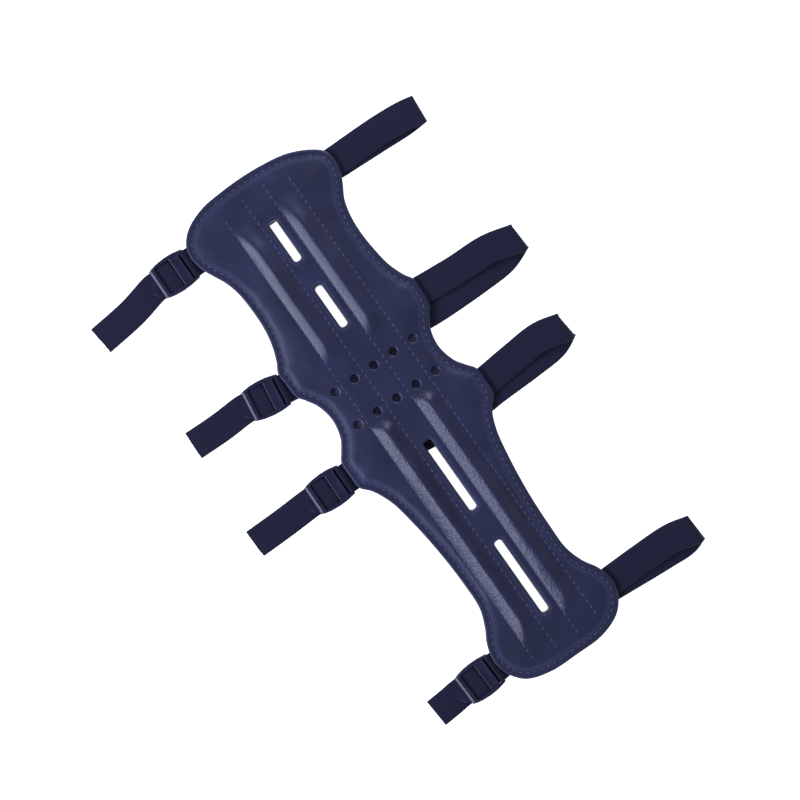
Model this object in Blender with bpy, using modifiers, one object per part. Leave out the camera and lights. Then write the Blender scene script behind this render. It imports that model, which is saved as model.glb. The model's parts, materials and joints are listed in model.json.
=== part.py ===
"""Archery arm guard that covers the forearm and the upper arm, laid flat with its straps threaded.

Frame: the guard's centre line is the Y axis, with the upper-arm end at +Y and the wrist end at -Y.
The straps are sewn on at +X and fasten in the buckles at -X. Z is up and the lowest webbing is at 0.
Metres throughout.
"""
import math

import bmesh
import bpy
from mathutils import Matrix, Vector

# ---- clearances -------------------------------------------------------------------------------
GAP = 0.0003                      # between pieces that lie on each other
PIVOT_GAP = 0.0003                # between a buckle's bar and the webbing round it

# ---- overall size. The plan points below are given for PLAN_WIDTH x PLAN_LENGTH and follow these two
GUARD_LENGTH = 0.3831
GUARD_WIDTH = 0.1149
PLAN_LENGTH = 0.3831
PLAN_WIDTH = 0.1149
WIDER = GUARD_WIDTH / PLAN_WIDTH
LONGER = GUARD_LENGTH / PLAN_LENGTH

# ---- webbing and layers, from the table up ----------------------------------------------------
WEBBING_WIDTH = 0.020
WEBBING_THICK = 0.0014
TAB_THICK = 0.0009
LINING_THICK = 0.0008
FOAM_THICK = 0.0025
COVER_THICK = 0.0012
FLANGE_WIDTH = 0.0055             # flat sewn edge all round
FLANGE_SLOPE = 0.0030             # width over which the padding rises behind the edge stitching
THREAD_RADIUS = 0.0003
EDGE_STITCH_INSET = 0.0040        # from the outline to the edge stitching
SEWN_LENGTH = 0.0150              # webbing sewn in under a lobe

# ---- outline: plan points (x, y), clockwise from the middle of the upper-arm end ----------------
OUTLINE_PLAN = [
    (0.0000, 0.1910), (0.0154, 0.1899), (0.0326, 0.1868), (0.0468, 0.1803), (0.0545, 0.1738),
    (0.0569, 0.1669), (0.0559, 0.1582), (0.0525, 0.1501), (0.0471, 0.1403), (0.0442, 0.1291),
    (0.0433, 0.1160), (0.0442, 0.1020), (0.0462, 0.0888), (0.0503, 0.0778), (0.0539, 0.0714),
    (0.0541, 0.0625), (0.0535, 0.0531), (0.0494, 0.0462), (0.0447, 0.0391), (0.0421, 0.0260),
    (0.0450, 0.0130), (0.0497, 0.0058), (0.0542, -0.0006), (0.0546, -0.0110), (0.0539, -0.0199),
    (0.0478, -0.0269), (0.0420, -0.0400), (0.0381, -0.0600), (0.0351, -0.0860), (0.0340, -0.1120),
    (0.0344, -0.1310), (0.0387, -0.1442), (0.0440, -0.1531), (0.0473, -0.1650), (0.0444, -0.1759),
    (0.0362, -0.1855), (0.0204, -0.1915), (0.0000, -0.1921), (-0.0204, -0.1915), (-0.0367, -0.1862),
    (-0.0449, -0.1762), (-0.0477, -0.1650), (-0.0449, -0.1528), (-0.0400, -0.1436), (-0.0353, -0.1309),
    (-0.0345, -0.1120), (-0.0357, -0.0861), (-0.0387, -0.0601), (-0.0426, -0.0402), (-0.0485, -0.0274),
    (-0.0543, -0.0201), (-0.0548, -0.0110), (-0.0545, -0.0005), (-0.0501, 0.0062), (-0.0457, 0.0132),
    (-0.0431, 0.0260), (-0.0456, 0.0388), (-0.0497, 0.0460), (-0.0540, 0.0530), (-0.0546, 0.0625),
    (-0.0547, 0.0716), (-0.0513, 0.0782), (-0.0474, 0.0892), (-0.0452, 0.1021), (-0.0449, 0.1160),
    (-0.0458, 0.1288), (-0.0486, 0.1397), (-0.0534, 0.1497), (-0.0568, 0.1579), (-0.0580, 0.1670),
    (-0.0560, 0.1748), (-0.0483, 0.1829), (-0.0334, 0.1890), (-0.0156, 0.1908),
]
GUARD_OUTLINE = [(x * WIDER, y * LONGER) for x, y in OUTLINE_PLAN]
OUTLINE_STEPS = 2                 # straight pieces in each stretch of the outline

# ---- openings in the guard --------------------------------------------------------------------
SLOT_WIDTH = 0.0053
SLOT_PLAN = [(-0.0007, 0.1552, 0.1245), (-0.0006, 0.1035, 0.0719),
             (-0.0004, -0.0205, -0.0750), (-0.0004, -0.1008, -0.1569)]      # x, start, end
SLOTS = [(x * WIDER, start * LONGER, end * LONGER) for x, start, end in SLOT_PLAN]
SLOT_END_SEGMENTS = 8
HOLE_DIAMETER = 0.0055
HOLE_ROWS = [0.0400 * LONGER, 0.0139 * LONGER]
HOLE_PITCH = 0.0155 * WIDER
HOLES_IN_ROW = 5

# ---- elbow, channels and stays ----------------------------------------------------------------
ELBOW_Y = 0.0270 * LONGER
FOAM_SPLIT = 0.0010               # slit between the two foam pads, on the elbow line
CHANNEL_INNER = 0.0084 * WIDER    # seams B and C
CHANNEL_OUTER = 0.0254 * WIDER    # seams A and D
INNER_SEAM_ENDS = (0.1800 * LONGER, -0.1810 * LONGER)
OUTER_SEAM_ENDS = (0.1740 * LONGER, -0.1770 * LONGER)
RIDGE_CLEAR = 0.0007              # from a ridge in the cover to the seams beside it
STAY_WIDTH = CHANNEL_OUTER - CHANNEL_INNER - 2 * (GAP + COVER_THICK + RIDGE_CLEAR)
STAY_HEIGHT = 0.0036
STAYS = {"upper": (0.1650 * LONGER, 0.0575 * LONGER), "forearm": (0.0075 * LONGER, -0.1660 * LONGER)}
STAY_POINT = 0.0120               # length of a stay's tapered end
STAY_SEGMENTS = 12
STAY_RINGS = 9

# ---- buckles ----------------------------------------------------------------------------------
BUCKLE_LENGTH = 0.0250            # from the tab bar's centre to the grip end
BUCKLE_WALL = 0.0022              # side rail at its widest
BUCKLE_WIDTH = WEBBING_WIDTH + 2 * (GAP + BUCKLE_WALL)
BUCKLE_HEIGHT = 0.0044
BUCKLE_LIFT = 0.0002              # further than GAP above the webbing that runs through it
TAB_BAR_RADIUS = 0.0009
SLOT_END = 0.176 * BUCKLE_LENGTH  # from the tab bar to the crossbar
CROSSBAR_LENGTH = 0.200 * BUCKLE_LENGTH
CROSSBAR_THICK = 0.0013
MIDDLE_BAR_AT = 0.592 * BUCKLE_LENGTH
MIDDLE_BAR_RADIUS = 0.0008
BAR_INTO_RAIL = 0.0006            # how far the bars run into each rail
GRIP_LENGTH = 0.152 * BUCKLE_LENGTH
RAIL_BULGE = [(0.04, 0.0009), (0.24, 0.0002), (0.48, 0.0), (0.72, 0.0004), (0.90, 0.0013),
              (0.984, 0.0019), (1.0, 0.0026)]     # share of the length, and how far in from the widest
RAIL_BACK = 0.0022                # how far in from the widest the rails start, behind the tab bar
TONGUE_HALF_WIDTH = WEBBING_WIDTH / 2 - 0.0010
TONGUE_REACH = 0.0068
TONGUE_THICK = 0.0011
TONGUE_LIFT = 0.0001              # above the buckle's underside
ROUND_SEGMENTS = 12
EYE_SEGMENTS = 16
EYE_WRAP_SEGMENTS = 20
TAB_PLATE_END = 0.0040            # the two layers of a tab join this far behind its eye

# ---- straps: plan points (x, y). "top" leaves the guard and ends at the loop's tip, "under" comes
# back below it, "bar" is the middle of the buckle's tab bar, "tail" ends the free end ------------
STRAP_PLAN = [
    {"top": [(0.0540, 0.1646), (0.0920, 0.1643), (0.1100, 0.1628), (0.1212, 0.1606)],
     "under": [(0.1080, 0.1594), (0.0900, 0.1594), (0.0560, 0.1614), (0.0430, 0.1638)],
     "bar": [(-0.0610, 0.1642)], "grip": [(-0.0860, 0.1645)],
     "tail": [(-0.1100, 0.1598), (-0.1377, 0.1566)]},
    {"top": [(0.0540, 0.0622), (0.0800, 0.0602), (0.1050, 0.0592), (0.1267, 0.0537)],
     "under": [(0.1100, 0.0484), (0.0900, 0.0471), (0.0560, 0.0474), (0.0430, 0.0484)],
     "bar": [(-0.0586, 0.0614)], "grip": [(-0.0833, 0.0649)],
     "tail": [(-0.1060, 0.0646), (-0.1276, 0.0650)]},
    {"top": [(0.0540, -0.0109), (0.0780, -0.0086), (0.1000, -0.0074), (0.1180, -0.0117)],
     "under": [(0.1050, -0.0167), (0.0860, -0.0183), (0.0560, -0.0190), (0.0430, -0.0199)],
     "bar": [(-0.0592, -0.0106)], "grip": [(-0.0842, -0.0102)],
     "tail": [(-0.1080, -0.0109), (-0.1316, -0.0112)]},
    {"top": [(0.0470, -0.1657), (0.0700, -0.1652), (0.0950, -0.1656), (0.1115, -0.1697)],
     "under": [(0.1010, -0.1724), (0.0850, -0.1719), (0.0560, -0.1699), (0.0360, -0.1682)],
     "bar": [(-0.0500, -0.1686)], "grip": [(-0.0750, -0.1694)],
     "tail": [(-0.0870, -0.1704), (-0.0981, -0.1712)]},
]
BUCKLE_STANDOFF = 0.0038          # from the guard's edge to a tab bar
STRAPS = []
for plan in STRAP_PLAN:
    moved = (WIDER - 1) * (plan["bar"][0][0] + BUCKLE_STANDOFF)
    strap = {part: [(x * WIDER, y * LONGER) for x, y in plan[part]] for part in ("top", "under")}
    for part in ("bar", "grip", "tail"):
        strap[part] = [(x + moved, y * LONGER) for x, y in plan[part]]
    STRAPS.append(strap)
STRAP_STEPS = 4                   # stations in each stretch of a strap
TURN_STEPS = 8                    # flats in the turn at a loop's tip
LOOP_RISE = (0, 0, 0.3, 0.8, 1)   # how far a loop's top has risen at each of its points
LOOP_RADIUS = 0.0020              # of the webbing's middle, where it turns back at the tip
RUN_CLEAR = 0.0043                # the run ends this far before the tab bar
THREADING = [(-0.0098, 0), (-0.0055, 0.35), (-0.0020, 0.92), (0, 1), (0.0016, 0.90), (0.0041, 0.24),
             (0.0058, 0.02), (0.0075, 0)]     # along from the middle bar, and share of the rise over it
TAIL_STEPS = 3
PAST_GRIP = 0.0030                # the tail lies straight this far past the grip

# ---- worked-out heights -----------------------------------------------------------------------
RUN_Z = WEBBING_THICK / 2
SEWN_Z = WEBBING_THICK + GAP + WEBBING_THICK / 2
LINING_Z = 2 * (WEBBING_THICK + GAP)
FOAM_Z = LINING_Z + LINING_THICK + GAP
FLANGE_TOP = FOAM_Z + COVER_THICK
PANEL_UNDER = FOAM_Z + FOAM_THICK + GAP
PANEL_TOP = PANEL_UNDER + COVER_THICK
EYE_RADIUS = TAB_BAR_RADIUS + PIVOT_GAP
TAB_BAR_Z = WEBBING_THICK + GAP + EYE_RADIUS + TAB_THICK
BUCKLE_Z = WEBBING_THICK + GAP + BUCKLE_LIFT
BUCKLE_INSIDE = WEBBING_WIDTH / 2 + GAP
MIDDLE_BAR_Z = BUCKLE_Z + MIDDLE_BAR_RADIUS
WINDOW_START = SLOT_END + CROSSBAR_LENGTH
WINDOW_END = BUCKLE_LENGTH - GRIP_LENGTH
STAY_X = (CHANNEL_INNER + CHANNEL_OUTER) / 2

# ---- for making the meshes ---------------------------------------------------------------------
WELD = 0.00001                    # points closer than this are one
FLAT_ANGLE = math.radians(0.5)    # faces that turn less than this are one
CUT_MARGIN = 0.0020               # how far a cutter reaches past what it cuts
FAR = 0.5                         # past everything

for old in list(bpy.data.objects):
    bpy.data.objects.remove(old, do_unlink=True)

PARTS = bpy.data.collections.new("archery_arm_guard")
CUTTERS = bpy.data.collections.new("cutters")
bpy.context.scene.collection.children.link(PARTS)
bpy.context.scene.collection.children.link(CUTTERS)


# ---- materials ---------------------------------------------------------------------------------
def linear(channel):
    return channel / 12.92 if channel <= 0.04045 else ((channel + 0.055) / 1.055) ** 2.4


def make_material(name, hex_colour, roughness):
    material = bpy.data.materials.new(name)
    material.use_nodes = True
    shader = material.node_tree.nodes["Principled BSDF"]
    rgb = [linear(int(hex_colour[i:i + 2], 16) / 255) for i in (0, 2, 4)]
    shader.inputs["Base Color"].default_value = (*rgb, 1)
    shader.inputs["Roughness"].default_value = roughness
    shader.inputs["Metallic"].default_value = 0
    return material


LEATHER = make_material("coated_leathercloth", "34375a", 0.45)
LINING = make_material("knit_lining", "26283a", 0.90)
FOAM = make_material("closed_cell_foam", "3c3d44", 0.95)
STAY = make_material("stay_polyethylene", "d8d8d2", 0.50)
ELASTIC = make_material("woven_elastic", "2b2d40", 0.85)
TAB_WEB = make_material("woven_webbing", "2a2c3c", 0.80)
ACETAL = make_material("buckle_acetal", "25283a", 0.35)
THREAD = make_material("sewing_thread", "4a4c63", 0.70)


# ---- helpers -----------------------------------------------------------------------------------
def place(name, mesh, material=None, cutter=False):
    thing = bpy.data.objects.new(name, mesh)
    (CUTTERS if cutter else PARTS).objects.link(thing)
    if cutter:
        thing.hide_render = True
        thing.display_type = "WIRE"
    if material:
        mesh.materials.append(material)
    return thing


def mesh_of(bm, name):
    mesh = bpy.data.meshes.new(name)
    bm.to_mesh(mesh)
    bm.free()
    return mesh


def smooth_line(points, steps, closed=False):
    """Points on a smooth curve through the given ones (centripetal Catmull-Rom)."""
    points = [Vector(p) for p in points]
    count = len(points)
    if closed:
        ends = [points[-1]] + points + [points[0], points[1]]
    else:
        ends = [2 * points[0] - points[1]] + points + [2 * points[-1] - points[-2]]
    out = []
    for i in range(count if closed else count - 1):
        p = ends[i:i + 4]
        t = [0.0]
        for a, b in zip(p, p[1:]):
            t.append(t[-1] + math.sqrt((b - a).length))
        for k in range(steps):
            at = t[1] + (t[2] - t[1]) * k / steps
            line = [a.lerp(b, (at - ta) / (tb - ta)) for a, b, ta, tb in zip(p, p[1:], t, t[1:])]
            bend = [a.lerp(b, (at - ta) / (tb - ta)) for a, b, ta, tb in zip(line, line[1:], t, t[2:])]
            out.append(bend[0].lerp(bend[1], (at - t[1]) / (t[2] - t[1])))
    return out if closed else out + [points[-1]]


def inset(outline, amount):
    """The outline moved inwards by an amount; it runs clockwise seen from above."""
    count = len(outline)
    moved = []
    for i, point in enumerate(outline):
        along = (outline[(i + 1) % count] - outline[i - 1]).normalized()
        moved.append(point + Vector((along.y, -along.x)) * amount)
    return moved


def solid_from_curve(name, curve, material=None, cutter=False, turn=None):
    """A closed mesh from a curve, with its caps welded."""
    guide = bpy.data.objects.new(name + "_curve", curve)
    CUTTERS.objects.link(guide)
    bpy.context.view_layer.update()
    mesh = bpy.data.meshes.new_from_object(guide.evaluated_get(bpy.context.evaluated_depsgraph_get()))
    bpy.data.objects.remove(guide, do_unlink=True)
    bm = bmesh.new()
    bm.from_mesh(mesh)
    bmesh.ops.remove_doubles(bm, verts=bm.verts, dist=WELD)
    bmesh.ops.dissolve_limit(bm, angle_limit=FLAT_ANGLE, verts=bm.verts, edges=bm.edges)
    bmesh.ops.recalc_face_normals(bm, faces=bm.faces)
    if turn:
        bmesh.ops.transform(bm, matrix=turn, verts=bm.verts)
    bm.to_mesh(mesh)
    bm.free()
    mesh.materials.clear()
    return place(name, mesh, material, cutter)


def flat_solid(name, outlines, bottom, thickness, material=None, cutter=False, turn=None):
    """A flat outline, with any further outlines as holes in it, given a thickness."""
    curve = bpy.data.curves.new(name, "CURVE")
    curve.dimensions = "2D"
    curve.fill_mode = "BOTH"
    curve.extrude = thickness / 2
    for outline in outlines:
        spline = curve.splines.new("POLY")
        spline.points.add(len(outline) - 1)
        for point, spot in zip(spline.points, outline):
            point.co = (spot[0], spot[1], 0, 1)
        spline.use_cyclic_u = True
    lift = Matrix.Translation((0, 0, bottom + thickness / 2))
    return solid_from_curve(name, curve, material, cutter, turn @ lift if turn else lift)


def thread_line(name, points, closed=False):
    curve = bpy.data.curves.new(name, "CURVE")
    curve.dimensions = "3D"
    curve.bevel_depth = THREAD_RADIUS
    curve.bevel_resolution = 0
    curve.use_fill_caps = True
    spline = curve.splines.new("POLY")
    spline.points.add(len(points) - 1)
    for point, spot in zip(spline.points, points):
        point.co = (*spot, 1)
    spline.use_cyclic_u = closed
    return solid_from_curve(name, curve, THREAD)


def box(name, low, high):
    bm = bmesh.new()
    low, high = Vector(low), Vector(high)
    size = high - low
    place_it = Matrix.Translation((low + high) / 2) @ Matrix.Diagonal((*size, 1))
    bmesh.ops.create_cube(bm, size=1, matrix=place_it)
    return place(name, mesh_of(bm, name), cutter=True)


def cylinder(name, radius, length, matrix):
    bm = bmesh.new()
    bmesh.ops.create_cone(bm, cap_ends=True, segments=ROUND_SEGMENTS, radius1=radius, radius2=radius,
                          depth=length, matrix=matrix)
    return place(name, mesh_of(bm, name), cutter=True)


def combine(target, other, operation):
    step = target.modifiers.new(other.name, "BOOLEAN")
    step.operation = operation
    step.solver = "EXACT"
    step.object = other


def ribbon(name, stations, thick, material):
    """Webbing: a strip through (middle, direction across) stations, given its thickness."""
    bm = bmesh.new()
    rows = []
    for middle, across in stations:
        half = across.normalized() * WEBBING_WIDTH / 2
        rows.append((bm.verts.new(middle - half), bm.verts.new(middle + half)))
    for (a, b), (c, d) in zip(rows, rows[1:]):
        bm.faces.new((a, b, d, c))
    strip = place(name, mesh_of(bm, name), material)
    wall = strip.modifiers.new("thickness", "SOLIDIFY")
    wall.thickness = thick
    wall.offset = 0
    wall.use_even_offset = True
    return strip


def across_of(direction):
    return Vector((-direction.y, direction.x, 0)).normalized()


def plan_stations(points, heights, steps):
    """Stations along a plan line, with the height going through the given values."""
    line = smooth_line([(*p, z) for p, z in zip(points, heights)], steps)
    for spot in line:
        spot.z = max(spot.z, RUN_Z)
    ahead = [b - a for a, b in zip(line, line[1:])]
    ways = [ahead[0]] + [(a.normalized() + b.normalized()) for a, b in zip(ahead, ahead[1:])] + [ahead[-1]]
    return [(spot, across_of(way)) for spot, way in zip(line, ways)]


# ---- guard layers ------------------------------------------------------------------------------
def make_openings():
    """Cutters for the ventilation slots and the elbow holes. The slots come first."""
    low, high = LINING_Z - CUT_MARGIN, PANEL_TOP + STAY_HEIGHT
    cutters = []
    for number, (x, start, end) in enumerate(SLOTS, 1):
        radius = SLOT_WIDTH / 2
        turns = [math.pi * k / SLOT_END_SEGMENTS for k in range(SLOT_END_SEGMENTS + 1)]
        outline = [(x + radius * math.cos(t), start - radius + radius * math.sin(t)) for t in turns]
        outline += [(x - radius * math.cos(t), end + radius - radius * math.sin(t)) for t in turns]
        cutters.append(flat_solid(f"slot_cutter_{number}", [outline], low, high - low, cutter=True))
    middle = (HOLES_IN_ROW - 1) / 2
    for row, y in enumerate(HOLE_ROWS, 1):
        for k in range(HOLES_IN_ROW):
            spot = Matrix.Translation(((k - middle) * HOLE_PITCH, y, (low + high) / 2))
            cutters.append(cylinder(f"hole_cutter_{row}_{k + 1}", HOLE_DIAMETER / 2, high - low, spot))
    return cutters


def make_rib(name, ends, x, width, height, base, floor, material=None, cutter=False):
    """A stay's shape: a long ellipsoid with pointed ends, flat underneath at the floor height."""
    start, end = ends
    bm = bmesh.new()
    bmesh.ops.create_uvsphere(bm, u_segments=STAY_SEGMENTS, v_segments=STAY_RINGS, radius=1)
    spread = (start - end) / 2 - STAY_POINT
    for vert in bm.verts:
        across, up, along = vert.co.x * width / 2, vert.co.y * height, vert.co.z * STAY_POINT
        along += math.copysign(spread, along)
        vert.co = Vector((x + across, (start + end) / 2 + along, max(base + up, floor)))
    bmesh.ops.remove_doubles(bm, verts=bm.verts, dist=WELD)
    bmesh.ops.recalc_face_normals(bm, faces=bm.faces)
    return place(name, mesh_of(bm, name), material, cutter)


def make_cover(outline, openings):
    """Outer skin: flat sewn edge, rise over the padding, and a ridge over each stay."""
    bm = bmesh.new()
    skin = bm.faces.new([bm.verts.new((p.x, p.y, FLANGE_TOP)) for p in reversed(outline)])
    for width, rise in ((FLANGE_WIDTH, 0), (FLANGE_SLOPE, PANEL_TOP - FLANGE_TOP)):
        bmesh.ops.inset_region(bm, faces=[skin], thickness=width, depth=rise, use_boundary=True,
                               use_even_offset=True)
    cover = place("cover", mesh_of(bm, "cover"), LEATHER)
    wall = cover.modifiers.new("thickness", "SOLIDIFY")
    wall.thickness = COVER_THICK
    wall.offset = -1
    for part, ends in STAYS.items():
        for side, x in (("left", -STAY_X), ("right", STAY_X)):
            grow = GAP + COVER_THICK
            wide = (ends[0] + grow, ends[1] - grow)
            ridge = make_rib(f"ridge_{part}_{side}", wide, x, STAY_WIDTH + 2 * grow,
                             STAY_HEIGHT + grow, PANEL_UNDER, PANEL_UNDER + GAP, cutter=True)
            near = (ends[0] + GAP, ends[1] - GAP)
            pocket = make_rib(f"pocket_{part}_{side}", near, x, STAY_WIDTH + 2 * GAP,
                              STAY_HEIGHT + GAP, PANEL_UNDER, PANEL_UNDER - GAP, cutter=True)
            combine(cover, ridge, "UNION")
            combine(cover, pocket, "DIFFERENCE")
    for cutter in openings:
        combine(cover, cutter, "DIFFERENCE")


def make_layers(outline, openings):
    lining = flat_solid("lining", [outline], LINING_Z, LINING_THICK, LINING)
    pad_outline = inset(outline, FLANGE_WIDTH + FLANGE_SLOPE + GAP)
    split = FOAM_SPLIT / 2
    halves = {
        "foam_upper_arm": box("below_elbow", (-FAR, -FAR, 0), (FAR, ELBOW_Y + split, FAR)),
        "foam_forearm": box("above_elbow", (-FAR, ELBOW_Y - split, 0), (FAR, FAR, FAR)),
    }
    for cutter in openings[:len(SLOTS)]:      # the lining closes the elbow holes
        combine(lining, cutter, "DIFFERENCE")
    for name, far_side in halves.items():
        pad = flat_solid(name, [pad_outline], FOAM_Z, FOAM_THICK, FOAM)
        combine(pad, far_side, "DIFFERENCE")
        for cutter in openings:
            combine(pad, cutter, "DIFFERENCE")


def make_stays():
    for part, ends in STAYS.items():
        for side, x in (("left", -STAY_X), ("right", STAY_X)):
            make_rib(f"stay_{part}_{side}", ends, x, STAY_WIDTH, STAY_HEIGHT, PANEL_UNDER,
                     PANEL_UNDER, STAY)


def make_stitching(outline):
    height = PANEL_TOP + GAP + THREAD_RADIUS
    lines = {"a": (-CHANNEL_OUTER, OUTER_SEAM_ENDS), "b": (-CHANNEL_INNER, INNER_SEAM_ENDS),
             "c": (CHANNEL_INNER, INNER_SEAM_ENDS), "d": (CHANNEL_OUTER, OUTER_SEAM_ENDS)}
    for letter, (x, (start, end)) in lines.items():
        thread_line(f"channel_stitching_{letter}", [(x, start, height), (x, end, height)])
    edge = inset(outline, EDGE_STITCH_INSET)
    height = FLANGE_TOP + GAP + THREAD_RADIUS
    thread_line("edge_stitching", [(p.x, p.y, height) for p in edge], closed=True)


# ---- straps ------------------------------------------------------------------------------------
def buckle_line(strap):
    """The middle of the buckle's tab bar in plan, and the way that the buckle points."""
    bar = Vector(strap["bar"][0])
    return bar, (Vector(strap["grip"][0]) - bar).normalized()


def make_loop(number, strap):
    """From the sewn end out to the tip, round it, and back to just under the guard's edge."""
    edge, second = Vector(strap["top"][0]), Vector(strap["top"][1])
    sewn = edge + (edge - second).normalized() * SEWN_LENGTH
    crest = RUN_Z + 2 * LOOP_RADIUS
    heights = [SEWN_Z + share * (crest - SEWN_Z) for share in LOOP_RISE]
    tip = Vector(strap["top"][-1])
    inward = (tip - Vector(strap["top"][-2])).normalized() * LOOP_RADIUS
    top_points = [tuple(sewn)] + strap["top"][:-1] + [tuple(tip - inward)]
    top = plan_stations(top_points, heights, STRAP_STEPS)
    under_points = [tuple(tip - inward)] + strap["under"]
    under = plan_stations(under_points, [RUN_Z] * len(under_points), STRAP_STEPS)
    under = [(spot, -across) for spot, across in under]
    turn_middle = Vector((*(tip - inward), RUN_Z + LOOP_RADIUS))
    turn = []
    for k in range(1, TURN_STEPS):
        angle = math.pi * k / TURN_STEPS
        across = top[-1][1].lerp(under[0][1], k / TURN_STEPS)
        out = Vector((across.y, -across.x, 0)).normalized()
        up = Vector((0, 0, math.cos(angle)))
        turn.append((turn_middle + LOOP_RADIUS * (out * math.sin(angle) + up), across))
    ribbon(f"strap_{number}_loop", top + turn + under, WEBBING_THICK, ELASTIC)


def strap_run(number, strap):
    """The stretch that lies under the guard, from the loop to the buckle."""
    start = Vector(strap["under"][-1])
    bar, ahead = buckle_line(strap)
    onward = (start - Vector(strap["under"][-2])).normalized()
    end = bar - ahead * (RUN_CLEAR + GAP)
    straight = WEBBING_WIDTH / 2
    points = [start + onward * GAP, start + onward * straight, end - ahead * straight, end]
    stations = plan_stations([tuple(p) for p in points], [RUN_Z] * len(points), STRAP_STEPS)
    return ribbon(f"strap_{number}_run", stations, WEBBING_THICK, ELASTIC)


def strap_tail(number, strap):
    """From the tab bar up over the middle bar, down under the grip and out to the cut end."""
    bar, ahead = buckle_line(strap)
    rise = MIDDLE_BAR_Z + MIDDLE_BAR_RADIUS + GAP + WEBBING_THICK / 2 - RUN_Z
    profile = [(-RUN_CLEAR, 0)] + [(MIDDLE_BAR_AT + along, share) for along, share in THREADING]
    profile.append((BUCKLE_LENGTH + PAST_GRIP, 0))
    points = [tuple(bar + ahead * along) for along, _ in profile] + strap["tail"]
    heights = [RUN_Z + share * rise for _, share in profile] + [RUN_Z] * len(strap["tail"])
    return ribbon(f"strap_{number}_tail", plan_stations(points, heights, TAIL_STEPS), WEBBING_THICK,
                  ELASTIC)


def make_tab(number, strap):
    """Short webbing sewn under the lobe, with an eye round the buckle's bar."""
    bar, ahead = buckle_line(strap)
    outer = EYE_RADIUS + TAB_THICK
    plate_top = 2 * WEBBING_THICK + GAP
    lowest = TAB_BAR_Z - outer
    first = math.pi + math.asin((TAB_BAR_Z - plate_top) / outer)
    last = -math.pi / 2
    turns = [first + (last - first) * k / EYE_WRAP_SEGMENTS for k in range(EYE_WRAP_SEGMENTS + 1)]
    eye_top = [(outer * math.cos(t), TAB_BAR_Z + outer * math.sin(t)) for t in turns]
    back = -(SEWN_LENGTH + outer + TAB_PLATE_END)
    outline = [(back, lowest), (back, plate_top)] + eye_top
    around = [2 * math.pi * k / EYE_SEGMENTS for k in range(EYE_SEGMENTS)]
    eye = [(EYE_RADIUS * math.cos(t), TAB_BAR_Z + EYE_RADIUS * math.sin(t)) for t in around]
    stand = Matrix.Rotation(math.pi / 2, 4, "X")
    tab = flat_solid(f"tab_{number}", [outline, eye], -WEBBING_WIDTH / 2, WEBBING_WIDTH, TAB_WEB, turn=stand)
    tab.location = (bar.x, bar.y, 0)
    tab.rotation_euler.z = math.atan2(ahead.y, ahead.x)
    return tab


def make_buckle_mesh():
    """Ladder-lock buckle: +X to the grip end, with the tab bar's middle at the origin."""
    half = BUCKLE_WIDTH / 2
    back = TAB_BAR_RADIUS + GAP
    side = [(-back, half - RAIL_BACK)] + [(share * BUCKLE_LENGTH, half - step) for share, step in RAIL_BULGE]
    line = smooth_line(side, 2)
    outline = [tuple(p) for p in line] + [(p.x, -p.y) for p in reversed(line)]
    frame = flat_solid("buckle_frame", [outline], BUCKLE_Z, BUCKLE_HEIGHT, cutter=True)
    top = BUCKLE_Z + BUCKLE_HEIGHT
    inside, under, over = BUCKLE_INSIDE, BUCKLE_Z - CUT_MARGIN / 2, top + CUT_MARGIN / 2
    crossbar_under = top - CROSSBAR_THICK
    behind = -5 * CUT_MARGIN
    combine(frame, box("slot_space", (behind, -inside, under), (SLOT_END, inside, over)), "DIFFERENCE")
    combine(frame, box("crossbar_space", (behind, -inside, under), (WINDOW_START, inside, crossbar_under)),
            "DIFFERENCE")
    combine(frame, box("window_space", (WINDOW_START, -inside, under), (WINDOW_END, inside, over)),
            "DIFFERENCE")
    lie = Matrix.Rotation(math.pi / 2, 4, "X")
    span = 2 * (inside + BAR_INTO_RAIL)
    tab_bar = Matrix.Translation((0, 0, TAB_BAR_Z)) @ lie
    middle_bar = Matrix.Translation((MIDDLE_BAR_AT, 0, MIDDLE_BAR_Z)) @ lie
    combine(frame, cylinder("tab_bar", TAB_BAR_RADIUS, span, tab_bar), "UNION")
    combine(frame, cylinder("middle_bar", MIDDLE_BAR_RADIUS, span, middle_bar), "UNION")
    fan = [math.pi * (k / EYE_SEGMENTS - 1 / 2) for k in range(EYE_SEGMENTS + 1)]
    root = BUCKLE_LENGTH - GRIP_LENGTH / 2
    reach = TONGUE_REACH + GRIP_LENGTH / 2
    tongue = [(root + reach * math.cos(t), TONGUE_HALF_WIDTH * math.sin(t)) for t in fan]
    combine(frame, flat_solid("tongue", [tongue], BUCKLE_Z + TONGUE_LIFT, TONGUE_THICK, cutter=True), "UNION")
    bpy.context.view_layer.update()
    mesh = bpy.data.meshes.new_from_object(frame.evaluated_get(bpy.context.evaluated_depsgraph_get()))
    for vert in mesh.vertices:
        vert.co.z -= TAB_BAR_Z
    mesh.name = "buckle"
    mesh.materials.clear()
    mesh.materials.append(ACETAL)
    return mesh


def make_buckle(number, strap, mesh):
    bar, ahead = buckle_line(strap)
    buckle = bpy.data.objects.new(f"buckle_{number}", mesh)
    PARTS.objects.link(buckle)
    buckle.location = (bar.x, bar.y, TAB_BAR_Z)
    buckle.rotation_euler.z = math.atan2(ahead.y, ahead.x)
    return buckle


def follow(child, axis):
    """Parents a piece to the empty on a joint's axis, leaving it where it is."""
    child.parent = axis
    child.matrix_parent_inverse = Matrix.Translation(-Vector(axis.location))


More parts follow.
